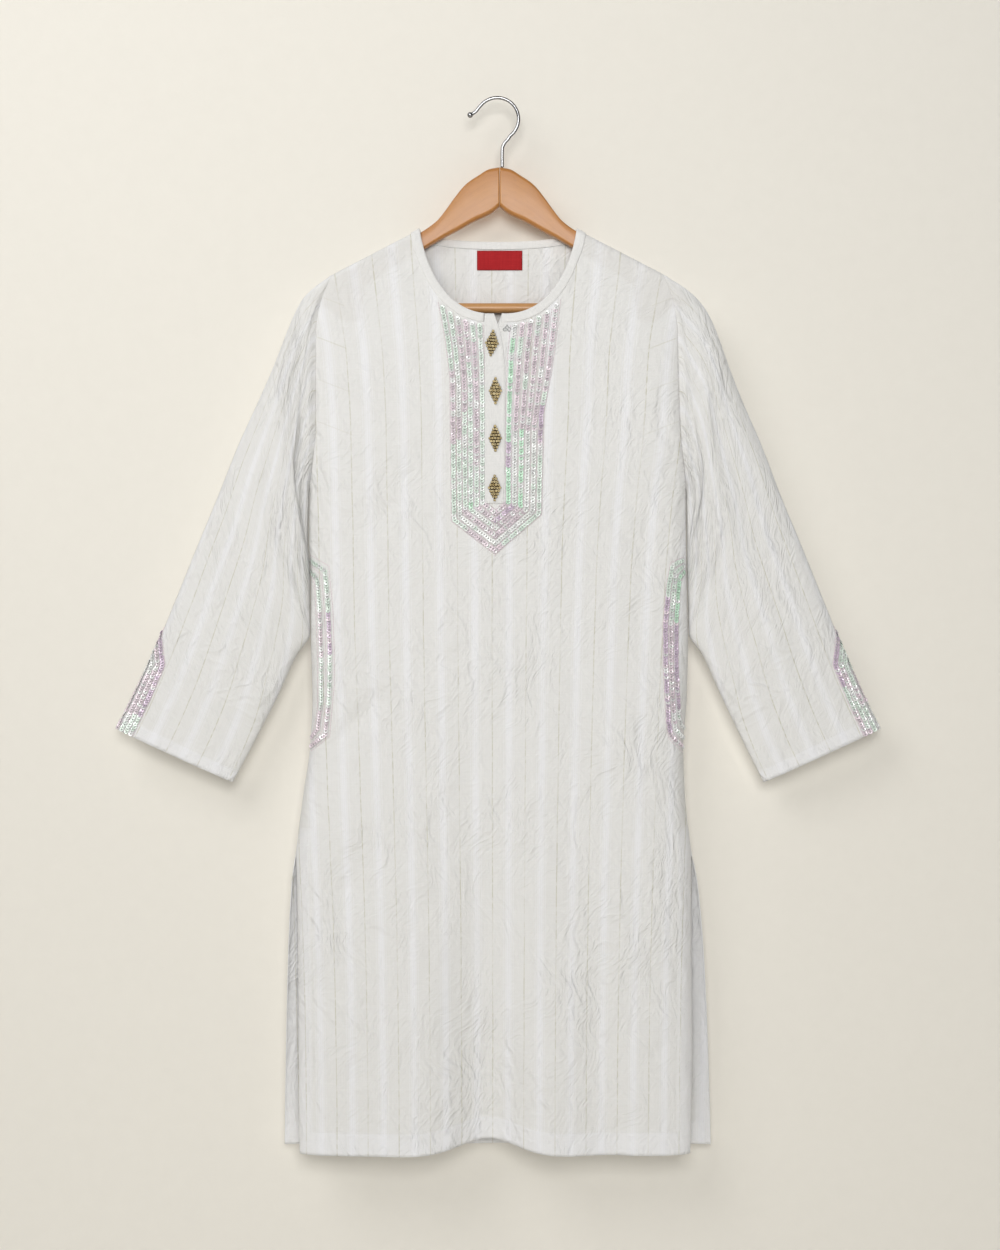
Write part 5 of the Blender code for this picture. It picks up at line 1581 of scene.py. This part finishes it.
def sew_sequins(name, jobs, film, seed):
    """Rows of cupped sequins, each lapping the next like scales and tipped a little its own way."""
    draw = np.random.default_rng(seed)
    shape, faces = turned_shape([(ring.radius, ring.height) for ring in SEQUIN], SEQUIN_SIDES, closed=True)
    # Painted shade and highlight: each ring scales the sequin's tone by its shade.
    shade = np.repeat([ring.shade for ring in SEQUIN], SEQUIN_SIDES)[None, :, None]
    parts, tints = [], []
    for surface, strip, trim in jobs:
        count = len(strip.tones)
        for k, row in enumerate(strip.tones):
            path = trim(row_path(strip, k / (count - 1)))
            places, way = walk(path, SEQUIN_PITCH)
            aside = np.stack([way[:, 1], -way[:, 0]], axis=1)
            places = places + aside * draw.normal(0, ROW_SPREAD, (len(places), 1))
            centre, along, outward, across = on_surface(surface, places, way, SEQUIN_LIFT)
            lean = np.radians(SEQUIN_LEAN + draw.normal(0, LEAN_SPREAD, len(places)))
            roll = np.radians(draw.normal(0, ROLL_SPREAD, len(places)))
            frames = leaning(along, outward, across, lean, roll)
            parts.append(placed(shape, faces, centre, *frames))
            tones = tones_along(row, places[:, 1], draw)
            tints.append(np.clip(tones[:, None] * shade, 0, MOST_TINT).reshape(-1, 3))
    points, faces = joined(parts)
    mesh = surface_mesh(name, points, faces, colours=np.concatenate(tints))
    return piece(name, mesh, film, "antique_gold")


def stitch_shape(length, radius, sides=5):
    """One stitch: a short thread along x, thin where it dives into the cloth at each end."""
    x = np.array([-0.5, -0.42, -0.2, 0.2, 0.42, 0.5]) * length
    reach = np.array([0.0, 0.6, 1.0, 1.0, 0.6, 0.0]) * radius
    rise = np.array([-0.9, -0.1, 0.35, 0.35, -0.1, -0.9]) * radius
    angle = np.linspace(0, 2 * math.pi, sides, endpoint=False)
    y = reach[:, None] * np.cos(angle)
    z = rise[:, None] + reach[:, None] * np.sin(angle)
    points = np.stack([np.broadcast_to(x[:, None], y.shape), y, z], axis=-1).reshape(-1, 3)
    return points, faced_out(points, grid_faces(len(x), sides, closed=True))


def stitches(surface, path, length, gap, radius, lift):
    """A row of stitches along a path on a surface."""
    shape, faces = stitch_shape(length, radius)
    places, way = walk(path, length + gap)
    return placed(shape, faces, *on_surface(surface, places, way, lift))


def sew_threads(name, jobs, thread):
    """Chain-stitch lines between and beside the rows of sequins."""
    parts = []
    for surface, strip, trim in jobs:
        count = len(strip.tones)
        for k in np.arange(count + 1) - 0.5:
            path = trim(row_path(strip, k / (count - 1)))
            chain = stitches(surface, path, CHAIN_LENGTH, CHAIN_SPACE, CHAIN_RADIUS, CHAIN_LIFT)
            parts.append(chain)
    points, faces = joined(parts)
    return piece(name, surface_mesh(name, points, faces), thread, "plain_cotton")


# ------------------------------------------------------------------ buttons, hook and eye
Button = namedtuple("Button", "x drop tilt")
BUTTONS = [
    Button(-6.8, 270.5, 6),
    Button(-3.0, 322.5, 0),
    Button(-3.2, 374.5, -1),
    Button(-3.8, 428.5, 0),
]
BUTTON_HALF_WIDTH = 7.3
BUTTON_HALF_HEIGHT = 15.3
BUTTON_POWER = 1.25
BUTTON_BASE = 1.2
BEAD_ROWS = [1, 2, 3, 4, 5, 4, 3, 2, 1]
BEAD_PITCH = 2.95
BEAD_ROW_PITCH = 3.3
BEAD_JITTER = 0.14
BEAD_LEAST = 0.76  # smallest and largest size against the profile below
BEAD_MOST = 0.92
# A ring-shaped bead: radius and height of each turn, and how deep in its hollows it lies as painted
# shade (0 to 1): full in the hollow and under the bead, none on the crown.
BeadRing = namedtuple("BeadRing", "radius height recess")
BEAD = [
    BeadRing(0.0, 0.35, 1.0),
    BeadRing(0.28, 0.38, 1.0),
    BeadRing(0.46, 0.55, 0.6),
    BeadRing(0.72, 0.82, 0.0),
    BeadRing(1.05, 0.95, 0.0),
    BeadRing(1.35, 0.86, 0.0),
    BeadRing(1.58, 0.60, 0.25),
    BeadRing(1.80, 0.20, 1.0),
    BeadRing(1.90, -0.15, 1.0),
    BeadRing(1.7, -0.4, 1.0),
    BeadRing(0.0, -0.45, 1.0),
]
BEAD_SIDES = 12
BEAD_BASE = 1.15  # height of the outermost beads over the plate's foot
BEAD_CROWN = 0.55  # how much higher the middle one sits
MOST_DULL = 0.3
PLATE_SIDES = 48
# The plate under the beads: the share of the outline, and the height, of each of its rings.
PLATE = [(0.0, 0.0), (0.80, 0.0), (0.84, 0.35), (0.80, 0.70), (0.70, 0.80), (0.0, 0.95)]


def bead_button(name, place, metal, seed):
    """A lozenge plate in painted shade with ring-shaped beads in rows of one to five on it, each a
    turned profile with its hollow and underside in painted shade. The lozenge is a superellipse, and
    the beads rise as a parabola to its middle."""
    draw = np.random.default_rng(seed)
    angle = np.linspace(0, 2 * math.pi, PLATE_SIDES, endpoint=False)
    across = np.sign(np.cos(angle)) * np.abs(np.cos(angle)) ** (2 / BUTTON_POWER) * BUTTON_HALF_WIDTH
    down = np.sign(np.sin(angle)) * np.abs(np.sin(angle)) ** (2 / BUTTON_POWER) * BUTTON_HALF_HEIGHT
    size, rise = np.array(PLATE).T[..., None]
    plate = np.stack(np.broadcast_arrays(size * across, -size * down, rise), axis=-1)
    parts = [(plate, faced_out(plate, grid_faces(len(PLATE), PLATE_SIDES, closed=True)))]
    # The whole plate lies in painted shade.
    shade = [np.ones(plate.shape[0] * plate.shape[1])]
    shape, faces = turned_shape([(ring.radius, ring.height) for ring in BEAD], BEAD_SIDES)
    hollow = np.repeat([ring.recess for ring in BEAD], BEAD_SIDES)
    for row, count in enumerate(BEAD_ROWS):
        y = (len(BEAD_ROWS) - 1) / 2 - row
        x = (np.arange(count) - (count - 1) / 2) * BEAD_PITCH + draw.normal(0, BEAD_JITTER, count)
        y = y * BEAD_ROW_PITCH + draw.normal(0, BEAD_JITTER, count)
        crown = BEAD_CROWN * (1 - (x / BUTTON_HALF_WIDTH) ** 2)
        z = BEAD_BASE + crown * (1 - (y / BUTTON_HALF_HEIGHT) ** 2)
        scale = draw.uniform(BEAD_LEAST, BEAD_MOST, count)[:, None, None]
        beads = shape[None] * scale + np.stack([x, y, z], axis=-1)[:, None]
        every = faces[None] + (np.arange(count) * len(shape))[:, None, None]
        parts.append((beads.reshape(-1, 3), every.reshape(-1, 4)))
        # Each bead's painted shade, with a random dullness of its own added.
        dull = draw.uniform(0.0, MOST_DULL, count)[:, None]
        shade.append(np.clip(hollow[None] + dull, 0, 1).ravel())
    points, faces = joined(parts)
    tilt = math.radians(place.tilt)
    x, y = points[:, 0], points[:, 1]
    turned = x * math.cos(tilt) + y * math.sin(tilt), y * math.cos(tilt) - x * math.sin(tilt)
    centre = FRONT.points(np.array([place.x]), np.array([place.drop]), BUTTON_BASE)[0]
    x, y, z = centre[0] + turned[0], centre[1] - points[:, 2], centre[2] + turned[1]
    placed_points = np.stack([x, y, z], axis=-1)
    mesh = surface_mesh(name, placed_points, faces, values={"recess": np.concatenate(shade)})
    return piece(name, mesh, metal, "antique_gold", name)


HOOK_EYE_CENTRE = (9.6, 253.0)
HOOK_EYE_RING = 1.7
HOOK_EYE_REACH = 4.2
HOOK_EYE_WIRE = 0.45
HOOK_EYE_SPREAD = 1.4  # how far each ring's centre stands from the middle, in ring radii
HOOK_EYE_BILL = 0.55


def hook_and_eye(metal):
    """A small flat hook of wire: two rings joined by a narrow bill, a circle carried along it."""
    turn = np.radians(np.linspace(-60, 240, 28))
    ring_x, ring_drop = HOOK_EYE_RING * np.cos(turn), HOOK_EYE_RING * np.sin(turn)
    lower_x = HOOK_EYE_RING * HOOK_EYE_SPREAD + ring_x
    bill = np.radians(np.linspace(180, 360, 9))
    x = HOOK_EYE_CENTRE[0] + np.concatenate([-lower_x[::-1], HOOK_EYE_BILL * np.cos(bill), lower_x])
    bill_drop = -HOOK_EYE_REACH + HOOK_EYE_BILL * np.sin(bill)
    drop = np.concatenate([ring_drop[::-1], bill_drop, ring_drop])
    drop = HOOK_EYE_CENTRE[1] + HOOK_EYE_REACH / 2 + drop
    path = FRONT.points(x, drop, SEAM_GAP + HOOK_EYE_WIRE)
    path = smooth_path(path, 120)
    radius = np.full(len(path), HOOK_EYE_WIRE)
    radius[[0, -1]] = 0
    points, faces = tube(path, radius, 10)
    mesh = surface_mesh("hook_and_eye", points, faces)
    return piece("hook_and_eye", mesh, metal, "nickel_wire", "hook_and_eye")


# ------------------------------------------------------------------ hanger
def hanger_arm(name, side, wood):
    """One wooden half. Its section, a flat board with rounded edges, is carried from the centre joint
    to the tip between the arm's top line and its underside."""
    count = 150
    top, foot = smooth_path(ARM_TOP, count), smooth_path(ARM_FOOT, count)
    spread = np.linalg.norm(foot - top, axis=1)[:, None]
    corner = np.linspace(math.pi / 2, 0, 8)
    inset = HANGER_EDGE * (1 - np.sin(corner))
    depth = HANGER_HALF_THICK - HANGER_EDGE * (1 - np.cos(corner))
    small = np.clip(spread / (2.6 * HANGER_EDGE), 0, 1)
    from_top = inset * small / np.maximum(spread, 0.001)
    thick = depth * np.sqrt(small)
    share = np.concatenate([from_top, np.full((count, 1), 0.5), 1 - from_top[:, ::-1]], axis=1)
    y = np.concatenate([thick, thick[:, -1:] + BOARD_SWELL * small, thick[:, ::-1]], axis=1)
    share, y = np.concatenate([share, share[:, ::-1]], axis=1), np.concatenate([-y, y[:, ::-1]], axis=1)
    line = top[:, None] * (1 - share[..., None]) + foot[:, None] * share[..., None]
    x = HANGER_CENTRE + side * (line[..., 0] + SEAM_GAP / 2)
    points = np.stack([x, y, -line[..., 1]], axis=-1)
    run = np.concatenate([[0], np.cumsum(np.linalg.norm(np.diff((top + foot) / 2, axis=0), axis=1))])
    back_board = np.where(np.arange(points.shape[1]) < points.shape[1] // 2, 0.0, 300.0)
    places = np.stack(np.broadcast_arrays(run[:, None], share * spread + back_board), axis=-1) * METRES
    joint = np.broadcast_to(points[:1].mean(axis=1, keepdims=True), points[:1].shape)
    points, places = np.concatenate([joint, points]), np.concatenate([places[:1], places])
    faces = faced_out(points, grid_faces(*points.shape[:2], closed=True))
    mesh = surface_mesh(name, points, faces, places)
    return piece(name, mesh, wood, "varnished_beech", name)


def hanger_bar(wood):
    """A turned dowel between the arms, its ends eased into their sockets."""
    half = BAR_END - SEAM_GAP / 2
    left_end, right_end = [-half, -half, -half + 1.2], [half - 1.2, half, half]
    x = np.concatenate([left_end, np.linspace(-half + 6, half - 6, 60), right_end])
    eased = [0, BAR_RADIUS - 1.0, BAR_RADIUS]
    radius = np.concatenate([eased, np.full(60, BAR_RADIUS), eased[::-1]])
    angle = np.linspace(0, 2 * math.pi, 36, endpoint=False)
    y, z = radius[:, None] * np.cos(angle), radius[:, None] * np.sin(angle)
    points = np.stack([np.broadcast_to(HANGER_CENTRE + x[:, None], y.shape), y, z - BAR_DROP], axis=-1)
    places = np.stack(np.broadcast_arrays(x[:, None] + 500, BAR_RADIUS * angle), axis=-1) * METRES
    faces = faced_out(points, grid_faces(*y.shape, closed=True))
    mesh = surface_mesh("hanger_bar", points, faces, places)
    return piece("hanger_bar", mesh, wood, "varnished_beech", "hanger_bar")


def hanger_hook(metal):
    """Bent wire: a stem, a loop round the bearing point, and a flared tip that ends in a ball."""
    turn = np.radians(np.linspace(LOOP_START, LOOP_END, 40))
    loop = np.stack([
        HOOK_CENTRE_X + HOOK_RADIUS * np.cos(turn),
        HOOK_RADIUS - HOOK_WIRE - HOOK_RADIUS * np.sin(turn),
    ], axis=1)
    places = np.concatenate([[(STEM_X, STEM_FOOT - SEAM_GAP)], STEM_BEND, loop, HOOK_TIP])
    path = smooth_path(places, 220)
    path = np.stack([path[:, 0], 0 * path[:, 0], -path[:, 1]], axis=-1)
    left = np.linalg.norm(path - path[-1], axis=1)
    ball = np.sqrt(np.clip(HOOK_BALL**2 - (left - HOOK_BALL) ** 2, 0, None))
    radius = np.where(left < 2 * HOOK_BALL, np.maximum(ball, HOOK_WIRE * (left > HOOK_BALL)), HOOK_WIRE)
    radius[0] = 0
    points, faces = tube(path, radius, 20)
    mesh = surface_mesh("hanger_hook", points, faces)
    return piece("hanger_hook", mesh, metal, "chrome_wire", "hanger_hook")


# ------------------------------------------------------------------ plain sewing
STITCH = 2.4
STITCH_SPACE = 0.9
STITCH_RADIUS = 0.16
STITCH_LIFT = 0.03
ON_PLACKET = 0.12  # how far its middle stands above its edges, where the stitches lie


def hem_stitches(panel):
    """The row of stitches above a panel's bottom hem, and those beside its vents."""
    rows = []
    inside = VENT_HEM_WIDTH - 2.0
    left, right = float(panel.side(HEM, -1)), float(panel.side(HEM, 1))
    across = np.linspace(left + inside, right - inside, 60)
    rows.append(np.stack([across, np.full(60, HEM - BODY_HEM_WIDTH)], axis=1))
    down = np.linspace(VENT_TOP - 22, HEM - BODY_HEM_WIDTH, 40)
    for side in (-1, 1):
        rows.append(np.stack([panel.side(down, side) - side * inside, down], axis=1))
    return [(panel.points, row) for row in rows]


def cuff_stitches(sleeve):
    """The row of stitches round a cuff, above its hem."""
    around = np.linspace(sleeve.across[-4].min() + 1.5, sleeve.across[-4].max() - 1.5, 90)
    return [(sleeve.on, np.stack([around, np.full(90, CUFF_HEM_WIDTH)], axis=1))]


def placket_stitches():
    """Beside both long edges of the placket and across its foot, on top of the strip."""
    down = np.linspace(PLACKET_TOP + 6, PLACKET_FOOT - 1.6, 60)
    left = np.stack([np.full(60, PLACKET_LEFT + 1.5), down], axis=1)
    right = np.stack([PLACKET_EDGE(down) - 1.5, down], axis=1)
    foot_x = np.linspace(PLACKET_LEFT + 2.5, float(PLACKET_EDGE(SLIT_FOOT)) - 2.5, 20)
    foot = np.stack([foot_x, np.full(20, PLACKET_FOOT - 1.6)], axis=1)

    def on_strip(x, drop, lift):
        return FRONT.points(x, drop, PLACKET_LIFT + ON_PLACKET + lift)

    return [(on_strip, row) for row in (left, right, foot)]


def label_stitches():
    """Round the label's four edges, on the side that shows through the neck."""
    x, drop = LABEL_HALF_WIDTH - 1.3, LABEL_HALF_HEIGHT - 1.3
    corners = np.array([(-x, -drop), (x, -drop), (x, drop), (-x, drop), (-x, -drop)]) + LABEL_CENTRE

    def on_label(across, down, lift):
        point = label_point(across, down)
        point[:, 1] -= lift
        return point

    return [(on_label, corners[i : i + 2]) for i in range(4)]


def sew_seams(name, rows, thread):
    """Plain stitches along every row, as one mesh."""
    thread_of = (STITCH, STITCH_SPACE, STITCH_RADIUS, STITCH_LIFT)
    parts = [stitches(surface, row, *thread_of) for surface, row in rows]
    points, faces = joined(parts)
    return piece(name, surface_mesh(name, points, faces), thread, "plain_cotton")


# ------------------------------------------------------------------ the whole tunic
weave, stripes, wear = weave_group(), stripe_group(), speckle_group()
crumple = crumple_group()
striped = cotton("striped cotton", weave, crumple, 1.0, stripes)
plain = cotton("plain cotton", weave, crumple, 0.45, base=(0.772, 0.768, 0.758, 1))
beech = varnished_beech("varnished beech", wear)
gold = antique_gold(wear)
film = sequin_film()

front_panel = body_panel("front_panel", FRONT, FRONT_NECKLINE, True, striped)
back_panel = body_panel("back_panel", BACK, BACK_NECKLINE, False, striped)
band = neck_band(plain)
strip = placket(plain)
red_label = label(woven_red(weave))
sleeves, facings, arms = {}, {}, []
for word, side in (("left", -1), ("right", 1)):
    tube_of_cloth = Sleeve(side)
    sleeves[side] = tube_of_cloth, tube_of_cloth.made(f"sleeve_{word}", striped)
    facings[side] = armhole_facing(f"armhole_facing_{word}", side, striped)
    arms.append(hanger_arm(f"hanger_arm_{word}", side, beech))
hanger_bar(varnished_beech("pale beech bar", wear, 0.5))
hanger_hook(wire_metal("chrome wire", (0.40, 0.40, 0.41), 0.18, wear))
hook_and_eye(wire_metal("nickel wire", (0.42, 0.43, 0.42), 0.32, wear))
for number, place in enumerate(BUTTONS, start=1):
    bead_button(f"button_{number}", place, gold, 30 + number)


def whole(path):
    """A row that is sewn from end to end."""
    return path


def cuff_face(sleeve, facing):
    """The cuff's front (1) or back (-1) as a surface of distances from the outer fold and the cuff."""
    return lambda aside, drop, lift: sleeve.on(facing * aside, -drop, lift)


yoke = [(FRONT.points, YOKE_LEFT, below_neck), (FRONT.points, YOKE_RIGHT, below_neck)]
sides = [
    (panel.points, strip_rows, whole)
    for panel in (FRONT, BACK)
    for strip_rows in (SIDE_LEFT, SIDE_RIGHT)
]
cuffs = [
    (cuff_face(sleeves[side][0], facing), rows, whole)
    for side, rows in ((-1, CUFF_LEFT), (1, CUFF_RIGHT))
    for facing in (1, -1)
]
pink_thread = sewing_thread("pink thread", (0.80, 0.67, 0.71))
white_thread = sewing_thread("white thread", (0.80, 0.79, 0.76))
sew_sequins("yoke_sequins", yoke, film, 41)
sew_sequins("side_sequins", sides, film, 42)
sew_sequins("cuff_sequins", cuffs, film, 43)
sew_threads("yoke_threads", yoke, pink_thread)
sew_threads("side_threads", sides, pink_thread)
sew_threads("cuff_threads", cuffs, pink_thread)
seams = hem_stitches(FRONT) + hem_stitches(BACK) + placket_stitches()
for side in (-1, 1):
    seams += cuff_stitches(sleeves[side][0])
sew_seams("seam_stitches", seams, white_thread)
sew_seams("label_stitches", label_stitches(), sewing_thread("red thread", (0.48, 0.03, 0.03)))

# ------------------------------------------------------------------ stage, lights and camera
WALL_DEPTH = 0.034
FLOOR_HEIGHT = -1.5
WALL_TOP = 2.5
STAGE_REACH = 4


def plane(name, corners, finish_of_it):
    """A flat face of the stage."""
    mesh = bpy.data.meshes.new(name)
    mesh.from_pydata(corners, [], [(0, 1, 2, 3)])
    mesh.materials.append(finish_of_it)
    made = bpy.data.objects.new(name, mesh)
    bpy.context.scene.collection.objects.link(made)
    return made


wall_corners = [
    (-STAGE_REACH, WALL_DEPTH, FLOOR_HEIGHT),
    (STAGE_REACH, WALL_DEPTH, FLOOR_HEIGHT),
    (STAGE_REACH, WALL_DEPTH, WALL_TOP),
    (-STAGE_REACH, WALL_DEPTH, WALL_TOP),
]
floor_corners = [
    (-STAGE_REACH, -STAGE_REACH, FLOOR_HEIGHT),
    (STAGE_REACH, -STAGE_REACH, FLOOR_HEIGHT),
    (STAGE_REACH, STAGE_REACH, FLOOR_HEIGHT),
    (-STAGE_REACH, STAGE_REACH, FLOOR_HEIGHT),
]
plane("wall", wall_corners, plaster())
plane("floor", floor_corners, pale_floor())


def area_light(name, place, aim, size, power, colour):
    """A square soft light at a place, turned to its aim."""
    lamp = bpy.data.lights.new(name, "AREA")
    lamp.shape = "SQUARE"
    lamp.size = size
    lamp.energy = power
    lamp.color = colour
    made = bpy.data.objects.new(name, lamp)
    made.location = place
    way = np.array(aim, float) - np.array(place, float)
    made.rotation_euler = Vector(way).to_track_quat("-Z", "Y").to_euler()
    bpy.context.scene.collection.objects.link(made)


area_light("key light", (-1.3, -1.6, 1.1), (0, 0, -0.5), 1.4, 25.0, (1.0, 0.99, 0.975))
area_light("front light", (0.05, -3.2, 0.15), (0, 0, -0.55), 1.3, 60.0, (1.0, 0.995, 0.985))
area_light("back light", (0.6, 2.4, 0.3), (0, 0, -0.6), 2.0, 38.0, (1.0, 0.99, 0.98))
world = bpy.data.worlds.new("studio")
world.use_nodes = True
world.node_tree.nodes["Background"].inputs["Color"].default_value = (0.97, 0.98, 1.0, 1)
world.node_tree.nodes["Background"].inputs["Strength"].default_value = 0.16
bpy.context.scene.world = world
bpy.context.scene.view_settings.view_transform = "Standard"

camera = bpy.data.cameras.new("camera")
camera.sensor_fit = "VERTICAL"
camera.sensor_height = 24.0
camera.lens = 36.7
camera_place = bpy.data.objects.new("camera", camera)
camera_place.location = (0.002, -2.1, -0.5775)
camera_place.rotation_euler = (math.pi / 2, 0, 0)
bpy.context.scene.collection.objects.link(camera_place)
bpy.context.scene.camera = camera_place
